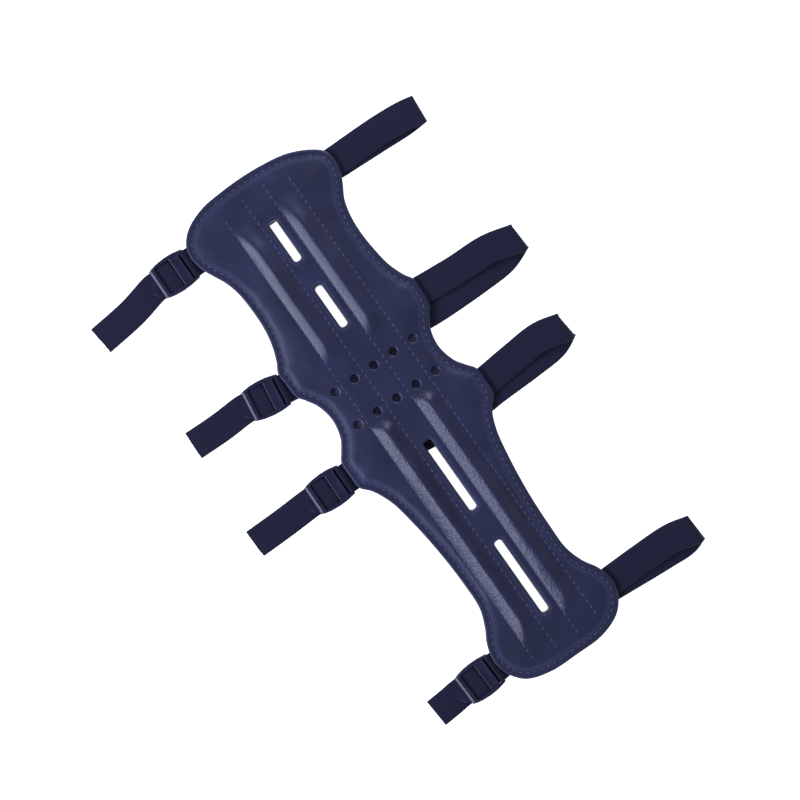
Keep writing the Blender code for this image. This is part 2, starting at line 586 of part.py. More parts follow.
def main():
    outline = smooth_line(GUARD_OUTLINE, OUTLINE_STEPS, closed=True)
    openings = make_openings()
    make_cover(outline, openings)
    make_layers(outline, openings)
    make_stays()
    make_stitching(outline)
    elbow = bpy.data.objects.new("elbow_axis", None)
    elbow.location = (0, ELBOW_Y, PANEL_UNDER)
    PARTS.objects.link(elbow)
    buckle_mesh = make_buckle_mesh()
    for number, strap in enumerate(STRAPS, 1):
        make_loop(number, strap)
        pieces = [strap_run(number, strap), strap_tail(number, strap), make_tab(number, strap),
                  make_buckle(number, strap, buckle_mesh), bpy.data.objects[f"strap_{number}_loop"]]
        if strap["bar"][0][1] < ELBOW_Y:
            for piece in pieces:
                follow(piece, elbow)
    for name in ("foam_forearm", "stay_forearm_left", "stay_forearm_right"):
        follow(bpy.data.objects[name], elbow)


main()
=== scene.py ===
"""Looks of an archery arm guard: a padded leathercloth panel for the forearm and upper arm, with four
sewn-in stays, a knit lining, and four elastic straps threaded through ladder-lock buckles.

Metres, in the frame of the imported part: the guard's centre line is the Y axis, with the upper-arm end
at +Y. The straps are sewn on at +X and fasten at -X. Z is up.
"""

import json
import math

import bmesh
import bpy
import numpy as np
from mathutils import Matrix, Vector
from mathutils.geometry import delaunay_2d_cdt


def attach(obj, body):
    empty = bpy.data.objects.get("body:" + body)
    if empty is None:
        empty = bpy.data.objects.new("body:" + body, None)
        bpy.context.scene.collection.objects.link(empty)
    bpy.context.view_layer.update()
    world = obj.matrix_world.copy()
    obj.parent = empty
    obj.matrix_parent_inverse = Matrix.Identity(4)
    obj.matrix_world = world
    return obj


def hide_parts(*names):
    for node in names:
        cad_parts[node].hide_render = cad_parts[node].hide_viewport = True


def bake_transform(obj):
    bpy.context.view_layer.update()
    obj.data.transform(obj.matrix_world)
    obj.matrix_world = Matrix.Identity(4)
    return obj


def deselect():
    bpy.ops.object.select_all(action="DESELECT")


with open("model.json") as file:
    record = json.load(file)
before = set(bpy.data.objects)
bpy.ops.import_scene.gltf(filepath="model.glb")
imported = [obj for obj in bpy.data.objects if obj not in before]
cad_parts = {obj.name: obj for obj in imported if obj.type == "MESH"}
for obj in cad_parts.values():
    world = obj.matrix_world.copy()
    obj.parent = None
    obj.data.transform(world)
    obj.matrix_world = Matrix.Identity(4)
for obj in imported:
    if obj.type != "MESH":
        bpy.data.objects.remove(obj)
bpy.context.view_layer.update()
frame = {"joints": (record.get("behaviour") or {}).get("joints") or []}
deselect()

MM = 0.001
JOINTS = {joint["name"]: joint for joint in frame["joints"]}

# ---- sizes of the part, in metres ---------------------------------------------------------------
OUTLINE_POINTS = [(x / 10000, y / 10000) for x, y in (         # tenths of a millimetre
    (0, 1910), (154, 1899), (326, 1868), (468, 1803), (545, 1738), (569, 1669), (559, 1582), (525, 1501),
    (471, 1403), (442, 1291), (433, 1160), (442, 1020), (462, 888), (503, 778), (539, 714), (541, 625),
    (535, 531), (494, 462), (447, 391), (421, 260), (450, 130), (497, 58), (542, -6), (546, -110),
    (539, -199), (478, -269), (420, -400), (381, -600), (351, -860), (340, -1120), (344, -1310),
    (387, -1442), (440, -1531), (473, -1650), (444, -1759), (362, -1855), (204, -1915), (0, -1921),
    (-204, -1915), (-367, -1862), (-449, -1762), (-477, -1650), (-449, -1528), (-400, -1436), (-353, -1309),
    (-345, -1120), (-357, -861), (-387, -601), (-426, -402), (-485, -274), (-543, -201), (-548, -110),
    (-545, -5), (-501, 62), (-457, 132), (-431, 260), (-456, 388), (-497, 460), (-540, 530), (-546, 625),
    (-547, 716), (-513, 782), (-474, 892), (-452, 1021), (-449, 1160), (-458, 1288), (-486, 1397),
    (-534, 1497), (-568, 1579), (-580, 1670), (-560, 1748), (-483, 1829), (-334, 1890), (-156, 1908),
)]
WEBBING_WIDTH, WEBBING_THICK = 0.020, 0.0014
RUN_Z, SEWN_Z, LOOP_RADIUS = 0.0007, 0.0024, 0.0020
SEWN_LENGTH, RUN_CLEAR = 0.0150, 0.0043
LINING_BOTTOM, LINING_TOP = 0.0034, 0.0044
FOAM_BOTTOM, FOAM_TOP = 0.0045, 0.0070
FLANGE_TOP, PANEL_TOP, COVER_THICK = 0.0057, 0.0085, 0.0011
EDGE_STITCH_INSET = 0.0040
PAD_START, PAD_CLIMB, PAD_END_CLIMB = 0.0043, 0.0165, 0.0105        # from the edge; longer at both ends
SLOT_HALF, SLOT_CORNER = 0.00265, 0.0019
SLOTS = [(-0.0007, 0.1552, 0.1245), (-0.0006, 0.1035, 0.0719),
         (-0.0004, -0.0205, -0.0750), (-0.0004, -0.1008, -0.1569)]      # x, start, end
HOLE_RADIUS, HOLE_PITCH, HOLE_ROWS = 0.00275, 0.0155, (0.0400, 0.0139)
SEAMS = {"a": (-0.0254, 0.1740, -0.1770), "b": (-0.0084, 0.1800, -0.1810),
         "c": (0.0084, 0.1800, -0.1810), "d": (0.0254, 0.1740, -0.1770)}
STAYS = ((0.1665, 0.0560), (0.0090, -0.1675))
RIB_SEAMS = (SEAMS["a"][0], SEAMS["c"][0])         # each ridge starts at one of these seams
CHANNEL = 0.0170
RIB_CRUMPLE = (0.13, 0.42)
RIB_HEIGHT, RIB_RISE, RIB_TAPER = (0.0031, 0.0036), (0.0068, 0.0076), ((0.026, 0.015), (0.010, 0.017))
FOAM_ROOM = 0.0002
STAY_EDGE, STAY_SHORT, STAY_ROOM, STAY_LEAST = 0.0026, 0.0035, 0.0003, 0.0003
ELBOW_LINE = 0.0270
STITCH_PITCH, STITCH_LENGTH, THREAD_RADIUS = 0.0047, 0.0026, 0.00027

STRAPS = [
    {"top": [(0.0540, 0.1646), (0.0920, 0.1643), (0.1100, 0.1628), (0.1212, 0.1606)],
     "under": [(0.1080, 0.1604), (0.0900, 0.1612), (0.0560, 0.1628), (0.0430, 0.1638)],
     "bar": (-0.0610, 0.1642), "grip": (-0.0860, 0.1645),
     "tail": [(-0.1100, 0.1598), (-0.1377, 0.1566)]},
    {"top": [(0.0540, 0.0622), (0.0800, 0.0602), (0.1050, 0.0592), (0.1267, 0.0537)],
     "under": [(0.1100, 0.0484), (0.0900, 0.0471), (0.0560, 0.0474), (0.0430, 0.0484)],
     "bar": (-0.0586, 0.0614), "grip": (-0.0833, 0.0649),
     "tail": [(-0.1060, 0.0646), (-0.1276, 0.0650)]},
    {"top": [(0.0540, -0.0109), (0.0780, -0.0086), (0.1000, -0.0074), (0.1180, -0.0117)],
     "under": [(0.1050, -0.0167), (0.0860, -0.0183), (0.0560, -0.0190), (0.0430, -0.0199)],
     "bar": (-0.0592, -0.0106), "grip": (-0.0842, -0.0102),
     "tail": [(-0.1080, -0.0109), (-0.1316, -0.0112)]},
    {"top": [(0.0470, -0.1657), (0.0700, -0.1652), (0.0950, -0.1656), (0.1115, -0.1697)],
     "under": [(0.1010, -0.1724), (0.0850, -0.1719), (0.0560, -0.1699), (0.0360, -0.1682)],
     "bar": (-0.0500, -0.1686), "grip": (-0.0750, -0.1694),
     "tail": [(-0.0870, -0.1704), (-0.0981, -0.1712)]},
]
LOOP_RISE = (0, 0, 0.3, 0.8, 1)
THREADING = [(-0.0112, 0), (-0.0088, 0.12), (-0.0062, 0.62), (-0.0038, 0.92), (0, 1), (0.0034, 0.98),
             (0.0055, 0.93), (0.0067, 0.68), (0.0079, 0.12), (0.0092, 0)]
TAB_BAR_Z = 0.0038
MIDDLE_BAR_AT = 0.0148
GRIP_LIP = 0.0214
BUCKLE_LENGTH = 0.0250
GRIP_FALL = 0.0010                # from the grip's inner edge to its outer one
PLATE_REACH = 0.0106              # of the crossbar and the grip, to each side of the middle
CREST_RISE = 0.0038               # of the webbing's middle, where it passes over the middle bar


# ---- curves and fields --------------------------------------------------------------------------
def smooth_line(points, steps, closed=False):
    """Points on a smooth curve through the given ones (centripetal Catmull-Rom)."""
    points = [Vector(p) for p in points]
    count = len(points)
    if closed:
        ends = [points[-1]] + points + [points[0], points[1]]
    else:
        ends = [2 * points[0] - points[1]] + points + [2 * points[-1] - points[-2]]
    out = []
    for i in range(count if closed else count - 1):
        p = ends[i:i + 4]
        t = [0.0]
        for a, b in zip(p, p[1:]):
            t.append(t[-1] + math.sqrt((b - a).length))
        for k in range(steps):
            at = t[1] + (t[2] - t[1]) * k / steps
            line = [a.lerp(b, (at - ta) / (tb - ta)) for a, b, ta, tb in zip(p, p[1:], t, t[1:])]
            bend = [a.lerp(b, (at - ta) / (tb - ta)) for a, b, ta, tb in zip(line, line[1:], t, t[2:])]
            out.append(bend[0].lerp(bend[1], (at - t[1]) / (t[2] - t[1])))
    return out if closed else out + [points[-1]]


def resample(points, spacing, closed=False):
    """The same line with points at an even spacing."""
    line = np.array([tuple(p) for p in points])
    if closed:
        line = np.vstack([line, line[:1]])
    along = np.concatenate([[0], np.cumsum(np.linalg.norm(np.diff(line, axis=0), axis=1))])
    count = max(2, round(along[-1] / spacing))
    at = np.linspace(0, along[-1], count + 1)
    if closed:
        at = at[:-1]
    return np.stack([np.interp(at, along, line[:, k]) for k in range(line.shape[1])], axis=1)


def smoothstep(value, low, high):
    t = np.clip((value - low) / (high - low), 0, 1)
    return t * t * (3 - 2 * t)


def bell(value, width):
    return np.exp(-(value / width) ** 2)


def patches(x, y, cell_x, cell_y, seed):
    """Soft random patches from -1 to 1, one value to a cell."""
    grid = np.random.default_rng(seed).uniform(-1, 1, (97, 89))
    u, v = x / cell_x + 40.5, y / cell_y + 40.5
    i, j = np.floor(u).astype(int), np.floor(v).astype(int)
    fu, fv = u - i, v - j
    fu, fv = fu * fu * (3 - 2 * fu), fv * fv * (3 - 2 * fv)
    at = lambda a, b: grid[a % 97, b % 89]
    low = at(i, j) * (1 - fu) + at(i + 1, j) * fu
    high = at(i, j + 1) * (1 - fu) + at(i + 1, j + 1) * fu
    return low * (1 - fv) + high * fv


def polygon_distance(points, loop):
    """How far each point is from a closed loop, whatever the side."""
    a, b = loop, np.roll(loop, -1, axis=0)
    ab = b - a
    size = (ab ** 2).sum(1)
    out = np.empty(len(points))
    for k in range(0, len(points), 2000):
        p = points[k:k + 2000, None, :]
        t = np.clip(((p - a) * ab).sum(2) / size, 0, 1)
        out[k:k + 2000] = np.sqrt((((a + t[..., None] * ab) - p) ** 2).sum(2).min(1))
    return out


def inside_polygon(points, loop):
    """Whether each point is inside a closed loop."""
    a, b = loop, np.roll(loop, -1, axis=0)
    rise = b[:, 1] - a[:, 1]
    rise = np.where(np.abs(rise) < 1e-12, 1e-12, rise)
    out = np.zeros(len(points), bool)
    for k in range(0, len(points), 2000):
        x, y = points[k:k + 2000, 0, None], points[k:k + 2000, 1, None]
        crosses = (a[:, 1] > y) != (b[:, 1] > y)
        left = x < (b[:, 0] - a[:, 0]) * (y - a[:, 1]) / rise + a[:, 0]
        out[k:k + 2000] = (crosses & left).sum(1) % 2 == 1
    return out


def slot_distance(x, y, at, start, end):
    """Signed distance to a slot's rounded opening, negative inside it."""
    qx = np.abs(x - at) - SLOT_HALF + SLOT_CORNER
    qy = np.abs(y - (start + end) / 2) - (start - end) / 2 + SLOT_CORNER
    outside = np.hypot(np.maximum(qx, 0), np.maximum(qy, 0))
    return outside + np.minimum(np.maximum(qx, qy), 0) - SLOT_CORNER


def slot_loop(at, start, end, grow, spacing):
    """The opening's edge, moved outwards by grow."""
    reach_x, reach_y = SLOT_HALF - SLOT_CORNER, (start - end) / 2 - SLOT_CORNER
    radius, middle = SLOT_CORNER + grow, (start + end) / 2
    loop = []
    for quarter, (sx, sy) in enumerate(((1, 1), (-1, 1), (-1, -1), (1, -1))):
        for k in range(9):
            turn = math.pi / 2 * (quarter + k / 8)
            loop.append((at + sx * reach_x + radius * math.cos(turn),
                         middle + sy * reach_y + radius * math.sin(turn)))
    return resample(loop, spacing, closed=True)


def ring(x, y, radius, spacing):
    count = max(12, round(2 * math.pi * radius / spacing))
    turn = 2 * math.pi * np.arange(count) / count
    return np.stack([x + radius * np.cos(turn), y + radius * np.sin(turn)], axis=1)


OUTLINE = resample(smooth_line(OUTLINE_POINTS, 12, closed=True), 0.0011, closed=True)
HOLES = [((k - 2) * HOLE_PITCH, y) for y in HOLE_ROWS for k in range(5)]


def inset_of(loop, amount, least=None):
    """A loop moved inwards; points that come too near another stretch of it are left out."""
    ahead = np.roll(loop, -1, axis=0) - np.roll(loop, 1, axis=0)
    ahead /= np.maximum(np.linalg.norm(ahead, axis=1), 1e-9)[:, None]
    moved = loop + np.stack([ahead[:, 1], -ahead[:, 0]], axis=1) * amount
    return moved[polygon_distance(moved, loop) > (amount * 0.9 if least is None else least)]


def inset_loop(amount):
    return inset_of(OUTLINE, amount, amount - 0.00012)


# ---- meshes --------------------------------------------------------------------------------------
def new_piece(name, points, faces, uv=None):
    mesh = bpy.data.meshes.new(name)
    mesh.from_pydata([tuple(p) for p in points], [], [tuple(int(i) for i in f) for f in faces])
    if uv is not None:
        layer = mesh.uv_layers.new(name="along_across")
        corners = np.empty(len(mesh.loops), np.int32)
        mesh.loops.foreach_get("vertex_index", corners)
        layer.data.foreach_set("uv", np.asarray(uv, np.float32)[corners].ravel())
    mesh.validate()
    mesh.shade_smooth()
    piece = bpy.data.objects.new(name, mesh)
    bpy.context.scene.collection.objects.link(piece)
    return piece


def only(piece):
    deselect()
    piece.select_set(True)
    bpy.context.view_layer.objects.active = piece


def apply_modifier(piece, kind, **settings):
    step = piece.modifiers.new(kind.lower(), kind)
    for key, value in settings.items():
        setattr(step, key, value)
    only(piece)
    bpy.ops.object.modifier_apply(modifier=step.name)


def bevel_edges(piece, width, segments, degrees):
    apply_modifier(piece, "BEVEL", width=width, segments=segments, limit_method="ANGLE",
                   angle_limit=math.radians(degrees))


def set_attribute(piece, name, values):
    layer = piece.data.attributes.new(name, "FLOAT", "POINT")
    layer.data.foreach_set("value", np.asarray(values, np.float32))


def flat_mesh(outline, openings, extra, spacing):
    """Triangles that fill an outline round its openings. extra is a list of point sets to keep."""
    kept, taken = [], {}

    def add(points, near):
        cell = 0.0016
        ids = []
        for x, y in points:
            i, j = int(x // cell), int(y // cell)
            close = any((x - kept[n][0]) ** 2 + (y - kept[n][1]) ** 2 < near * near
                        for a in (i - 1, i, i + 1) for b in (j - 1, j, j + 1) for n in taken.get((a, b), ()))
            if not close:
                taken.setdefault((i, j), []).append(len(kept))
                ids.append(len(kept))
                kept.append((float(x), float(y)))
        return ids

    edges = []
    for loop in [outline] + openings:
        ids = add(loop, 0.00001)
        edges += list(zip(ids, ids[1:] + ids[:1]))
    for points, near in extra:
        add(points[inside_polygon(points, outline)], near)
    low, high = outline.min(0), outline.max(0)
    rows = np.arange(low[1], high[1], spacing * 0.87)
    across = np.arange(low[0], high[0], spacing)
    fill = np.array([(x + (r % 2) * spacing / 2, y) for r, y in enumerate(rows) for x in across])
    jitter = np.random.default_rng(4).uniform(-0.12, 0.12, fill.shape) * spacing
    fill = fill + jitter
    add(fill[inside_polygon(fill, outline)], spacing * 0.62)
    result = delaunay_2d_cdt([Vector(p) for p in kept], edges, [], 0, 1e-7)
    points = np.array([tuple(p) for p in result[0]])
    faces = np.array([tuple(f) for f in result[2]])
    middle = points[faces].mean(1)
    keep = inside_polygon(middle, outline)
    for loop in openings:
        keep &= ~inside_polygon(middle, loop)
    faces = faces[keep]
    used, faces = np.unique(faces, return_inverse=True)
    faces = faces.reshape(-1, 3)
    points = points[used]
    a, b, c = (points[faces[:, k]] for k in range(3))
    turn = (b[:, 0] - a[:, 0]) * (c[:, 1] - a[:, 1]) - (b[:, 1] - a[:, 1]) * (c[:, 0] - a[:, 0])
    faces[turn < 0] = faces[turn < 0][:, ::-1]
    return points, faces


# ---- the cover's relief --------------------------------------------------------------------------
def rib_relief(x, y):
    """Height of the ridges over the stays, and how much of their steep side each point is on."""
    height, steep = np.zeros(len(x)), np.zeros(len(x))
    for seam in RIB_SEAMS:
        for (start, end), rib_rise, height_here, tapers, crumple in zip(STAYS, RIB_RISE, RIB_HEIGHT, RIB_TAPER,
                                                                        RIB_CRUMPLE):
            from_end = np.minimum((start - y) / tapers[0], (y - end) / tapers[1])
            full = smoothstep(from_end, 0, 1) ** 0.8
            u = x - seam
            crest = rib_rise * (0.45 + 0.55 * full)
            rise = np.clip((u - 0.0003) / crest, 0, 1)
            fall = np.clip((u - 0.92 * crest) / (CHANNEL - 0.0006 - 0.92 * crest), 0, 1)
            wobble = 1 + 0.04 * patches(x * 0 + seam, y, 1, 0.013, 11)
            shape = -np.log(np.exp(-9 * rise) + np.exp(-9 * (1 - fall * fall * (3 - 2 * fall)))) / 9
            within = (from_end > 0) & (u > 0) & (u < CHANNEL)
            height += np.where(within, height_here * full * np.clip(shape, 0, 1) * wobble, 0)
            band = smoothstep(u, 0, 0.0008) * (1 - smoothstep(u, 0.9 * crest, 1.2 * crest + 0.0004))
            steep += np.where(within, crumple * band * smoothstep(from_end, 0, 0.3), 0)
    return height, steep


def cover_relief(points):
    """Top of the cover above each plan point, with how crumpled the skin is there and how much paler its colour is
    painted: some rubbing, and painted highlights on the turned edge, the padding's shoulder and the rims of slots
    and holes.
    """
    x, y = points[:, 0], points[:, 1]
    edge = polygon_distance(points, OUTLINE)
    climb = np.clip((edge - PAD_START) / (PAD_CLIMB + PAD_END_CLIMB * smoothstep(np.abs(y), 0.120, 0.160)), 0, 1)
    roll = np.where(np.abs(y) < 0.130, smoothstep(edge, 0.0056, 0.0088), climb)
    rise = 0.90 * (1 - (1 - climb) ** 1.22) + 0.10 * roll
    z = FLANGE_TOP + (PANEL_TOP - FLANGE_TOP) * rise
    z -= 0.00045 * (1 - np.clip(edge / 0.0009, 0, 1)) ** 2
    z -= 0.00010 * bell(edge - EDGE_STITCH_INSET, 0.0006)
    z += 0.00010 * bell(edge - 0.0115, 0.0035) * (1 + 0.5 * patches(x, y, 0.010, 0.010, 3))
    z += 0.00012 * patches(x, y, 0.0045, 0.0045, 8) * bell(edge - 0.0068, 0.0022)
    padding = smoothstep(edge, 0.007, 0.013)
    z += padding * (0.00030 * patches(x, y, 0.024, 0.030, 5) + 0.00012 * patches(x, y, 0.009, 0.011, 6))
    # Paler colour: a painted highlight band on the padding's shoulder just inside the edge stitches, and a pale
    # line on the turned edge that is partly rubbing, partly painted highlight.
    rub_and_highlight = 0.8 * bell(edge - 0.0062, 0.0012) + 0.5 * bell(edge, 0.0005)
    for seam, start, end in SEAMS.values():
        within = smoothstep(y, end - 0.001, end + 0.004) * (1 - smoothstep(y, start - 0.004, start + 0.001))
        z -= within * (0.00010 * bell(x - seam, 0.0007) + 0.00006 * bell(x - seam, 0.0022))
    ribs, steep = rib_relief(x, y)
    ripple = 0.6 * patches(x, y, 0.0040, 0.0019, 21) + patches(x, y, 0.0021, 0.0013, 22)
    z += ribs + 0.00013 * ripple * steep
    crease = np.exp(-((y - ELBOW_LINE) / 0.016) ** 2) * padding
    z += crease * 0.00022 * patches(x, y, 0.030, 0.0042, 31)
    for slot in SLOTS:
        off = slot_distance(x, y, *slot)
        lift = np.clip(off / 0.0007, 0, 1)
        z = np.where(off < 0.0007, FLANGE_TOP + (z - FLANGE_TOP) * np.sqrt(1 - (1 - lift) ** 2), z)
        z -= 0.00018 * (1 - smoothstep(off, 0.0012, 0.0026))
        # Painted highlight line on the crest about 2 mm round each slot.
        rub_and_highlight += 0.9 * bell(off - 0.0021, 0.0005)
    for hole_x, hole_y in HOLES:
        off = np.hypot(x - hole_x, y - hole_y) - HOLE_RADIUS
        z += np.where(off < 0.003, 0.00012 * bell(off - 0.0009, 0.0005) - 0.00062 * np.exp(-off / 0.00055), 0)
        # Painted pale ring just outside each hole, standing in for its rim highlight.
        rub_and_highlight += np.where(off < 0.003, 0.9 * bell(off - 0.0003, 0.0003), 0)
    steep = steep + 0.12 * bell(edge - 0.0075, 0.0025)
    return z, np.clip(steep, 0, 1), np.clip(rub_and_highlight, 0, 1)


def make_cover():
    openings = [slot_loop(*slot, 0, 0.0009) for slot in SLOTS]
    openings += [ring(x, y, HOLE_RADIUS, 0.0006) for x, y in HOLES]
    extra = [(inset_loop(amount), 0.0004) for amount in
             (0.0004, 0.0009, 0.0018, 0.0030, 0.0036, 0.0040, 0.0045, 0.0052, 0.0061, 0.0072, 0.0086, 0.0104)]
    for slot in SLOTS:
        extra += [(slot_loop(*slot, grow, 0.0011), 0.0003) for grow in
                  (0.0002, 0.0005, 0.0008, 0.0013, 0.0018, 0.0023, 0.0027, 0.0034)]
    for x, y in HOLES:
        extra += [(ring(x, y, HOLE_RADIUS + grow, 0.0008), 0.0002) for grow in (0.0003, 0.0007, 0.0012, 0.0019)]
    for seam, start, end in SEAMS.values():
        rows = np.arange(end, start, 0.00118)
        for off in (0, -0.0005, 0.0005, -0.0011, 0.0011, -0.0019, 0.0019):
            extra.append((np.stack([np.full(len(rows), seam + off), rows], axis=1), 0.0004))
    for seam in RIB_SEAMS:
        for start, end in STAYS:
            rows = np.arange(end - 0.001, start + 0.001, 0.00110)
            for across in np.arange(0.0028, CHANNEL - 0.002, 0.00098):
                extra.append((np.stack([np.full(len(rows), seam + across), rows], axis=1), 0.0005))
    points, faces = flat_mesh(OUTLINE, openings, extra, 0.0020)
    z, crumple, rub_and_highlight = cover_relief(points)
    cover = new_piece("cover_skin", np.column_stack([points, z]), faces)
    set_attribute(cover, "crumple", crumple)
    # The paler colour for the material: some rubbing, mostly painted highlights on the rims.
    set_attribute(cover, "rub_and_highlight", rub_and_highlight)
    apply_modifier(cover, "SOLIDIFY", thickness=COVER_THICK, offset=-1, use_even_offset=False)
    return cover


def make_slab(name, outline, openings, bottom, top, spacing, swell=0.0):
    """A flat layer with rounded edges."""
    rings = [(loop, 0.0004) for loop in (inset_of(outline, 0.0007), inset_of(outline, 0.0016))]
    points, faces = flat_mesh(outline, openings, rings, spacing)
    edge = polygon_distance(points, outline)
    z = top - 0.0003 * (1 - np.clip(edge / 0.0008, 0, 1)) ** 2
    z += swell * patches(points[:, 0], points[:, 1], 0.012, 0.012, 15)
    slab = new_piece(name, np.column_stack([points, z]), faces)
    apply_modifier(slab, "SOLIDIFY", thickness=top - bottom, offset=-1)
    return slab


def stay_floor(plan):
    """Underside of a stay at each plan point: on the foam, or lower where the cover is low."""
    return np.minimum(FOAM_TOP + STAY_ROOM, cover_relief(plan)[0] - COVER_THICK - 2 * STAY_ROOM - STAY_LEAST)


def make_foam(name, keep_above):
    """One foam pad: everything inside the sewn edge on one side of the elbow line."""
    loop = inset_loop(0.0110)
    side = (loop[:, 1] > ELBOW_LINE + 0.0006) if keep_above else (loop[:, 1] < ELBOW_LINE - 0.0006)
    start = np.argmax(side & ~np.roll(side, 1))
    loop = np.roll(loop, -start, axis=0)
    side = np.roll(side, -start)
    loop = loop[side]
    openings = [slot_loop(*slot, 0.0030, 0.0016) for slot in SLOTS if (slot[1] > ELBOW_LINE) == keep_above]
    openings += [ring(x, y, HOLE_RADIUS + 0.0002, 0.0012) for x, y in HOLES if (y > ELBOW_LINE) == keep_above]
    pad = make_slab(name, loop, openings, FOAM_BOTTOM, FOAM_TOP - 0.0001, 0.0045, 0.00005)
    points = np.array([vert.co for vert in pad.data.vertices])
    ceiling = relief_at(points[:, :2]) - 1.25 * COVER_THICK - FOAM_ROOM
    for seam in RIB_SEAMS:
        under_stay = np.abs(points[:, 0] - seam - CHANNEL / 2) < CHANNEL / 2 + 0.003
        ceiling = np.where(under_stay, np.minimum(ceiling, stay_floor(points[:, :2]) - STAY_ROOM), ceiling)
    ceiling = np.maximum(ceiling, FOAM_BOTTOM + FOAM_ROOM)
    for vert, limit in zip(pad.data.vertices, ceiling):
        lower = vert.co.z < (FOAM_BOTTOM + FOAM_TOP) / 2
        vert.co.z = FOAM_BOTTOM if lower else min(vert.co.z, limit)
    return pad


def make_stay(part, side, seam, start, end):
    """A stay: a flat-bottomed strip that fills the ridge over it and tapers to both ends."""
    rows = np.linspace(end + STAY_SHORT, start - STAY_SHORT, 46)
    across = np.linspace(STAY_EDGE, CHANNEL - STAY_EDGE, 11)
    x, y = np.meshgrid(seam + across, rows)
    plan = np.column_stack([x.ravel(), y.ravel()])
    top = cover_relief(plan)[0] - COVER_THICK - STAY_ROOM
    rim = (np.minimum(across - across[0], across[-1] - across) / STAY_EDGE).clip(0, 1)
    rim = np.tile(rim, len(rows))
    bottom = stay_floor(plan)
    top = bottom + (top - bottom) * (0.35 + 0.65 * rim)
    count, wide = len(plan), len(across)
    points = np.vstack([np.column_stack([plan, top]), np.column_stack([plan, bottom])])
    cells = [(r * wide + k, r * wide + k + 1, (r + 1) * wide + k + 1, (r + 1) * wide + k)
             for r in range(len(rows) - 1) for k in range(wide - 1)]
    faces = cells + [tuple(count + i for i in reversed(cell)) for cell in cells]
    loop = [*range(wide), *range(2 * wide - 1, count, wide), *range(count - 2, count - wide - 1, -1),
            *range(count - 2 * wide, 0, -wide)]
    faces += [(b, a, count + a, count + b) for a, b in zip(loop, loop[1:] + loop[:1])]
    return new_piece(f"stay_strip_{part}_{side}", points, faces)


# ---- stitches ------------------------------------------------------------------------------------
def stitch_shape():
    """One stitch along X: a fat thread whose ends dive into the skin."""
    rings, sides = [], 8
    for along, radius, sink in ((-0.5, 0.35, -1.2), (-0.43, 0.85, -0.35), (-0.25, 1.0, 0.0), (0.0, 1.06, 0.08),
                                (0.25, 1.0, 0.0), (0.43, 0.85, -0.35), (0.5, 0.35, -1.2)):
        turn = 2 * math.pi * np.arange(sides) / sides
        rings.append(np.stack([np.full(sides, along * STITCH_LENGTH), np.cos(turn) * radius * THREAD_RADIUS,
                               (np.sin(turn) * radius * 0.85 + sink) * THREAD_RADIUS], axis=1))
    points = np.concatenate(rings)
    faces = [(r * sides + k, (r + 1) * sides + k, (r + 1) * sides + (k + 1) % sides, r * sides + (k + 1) % sides)
             for r in range(len(rings) - 1) for k in range(sides)]
    first, last = list(range(sides)), list(range((len(rings) - 1) * sides, len(rings) * sides))
    return points, faces, (first, last[::-1])


STITCH, STITCH_SIDES, STITCH_CAPS = stitch_shape()


def make_stitches(name, places):
    """Stitches at (x, y, z, heading, turned over) places, as one piece."""
    points, faces = [], []
    rng = np.random.default_rng(len(name))
    for x, y, z, heading, over in places:
        heading += rng.normal(0, 0.045)
        size = 1 + rng.normal(0, 0.04)
        cos, sin = math.cos(heading), math.sin(heading)
        base = len(points)
        for px, py, pz in STITCH * size:
            points.append((x + px * cos - py * sin, y + px * sin + py * cos, z + (-pz if over else pz)))
        for face in [*STITCH_SIDES, *STITCH_CAPS]:
            ids = [base + i for i in face]
            faces.append(ids if over else ids[::-1])
    return new_piece(name, points, faces)


def relief_at(points):
    return cover_relief(np.asarray(points, float))[0]


def seam_places(letter):
    seam, start, end = SEAMS[letter]
    rows = np.arange(start - STITCH_PITCH / 2, end, -STITCH_PITCH)
    heights = relief_at([(seam, y) for y in rows]) + 0.00012
    top = [(seam, y, z, math.pi / 2, False) for y, z in zip(rows, heights)]
    clear = [y for y in rows if not any(strap_covers(seam, y, strap) for strap in STRAPS)]
    return top + [(seam, y, LINING_BOTTOM - 0.00005, math.pi / 2, True) for y in clear]


def strap_covers(x, y, strap):
    """Whether webbing lies against the lining at this place."""
    tip = Vector(strap["top"][0])
    inner = tip.x - SEWN_LENGTH
    bar = Vector(strap["bar"])
    if x > inner - 0.001:
        return abs(y - tip.y) < WEBBING_WIDTH / 2 + 0.001
    if x < bar.x + SEWN_LENGTH + 0.007:
        return abs(y - bar.y) < WEBBING_WIDTH / 2 + 0.001
    return False


def edge_places():
    loop = inset_of(OUTLINE, EDGE_STITCH_INSET)
    loop = resample(loop, STITCH_PITCH, closed=True)
    ahead = np.roll(loop, -1, axis=0) - np.roll(loop, 1, axis=0)
    headings = np.arctan2(ahead[:, 1], ahead[:, 0])
    heights = relief_at(loop) + 0.00016
    places = [(x, y, z, turn, False) for (x, y), z, turn in zip(loop, heights, headings)]
    for (x, y), turn in zip(loop, headings):
        if not any(strap_covers(x, y, strap) for strap in STRAPS):
            places.append((x, y, LINING_BOTTOM - 0.00005, turn, True))
    return places


# ---- straps --------------------------------------------------------------------------------------
def across_of(direction):
    return Vector((-direction.y, direction.x, 0)).normalized()


def plan_stations(points, heights, steps):
    line = smooth_line([(*p, z) for p, z in zip(points, heights)], steps)
    for spot in line:
        spot.z = max(spot.z, RUN_Z)
    ahead = [b - a for a, b in zip(line, line[1:])]
    ways = [ahead[0]] + [a.normalized() + b.normalized() for a, b in zip(ahead, ahead[1:])] + [ahead[-1]]
    return [(spot, across_of(way)) for spot, way in zip(line, ways)]


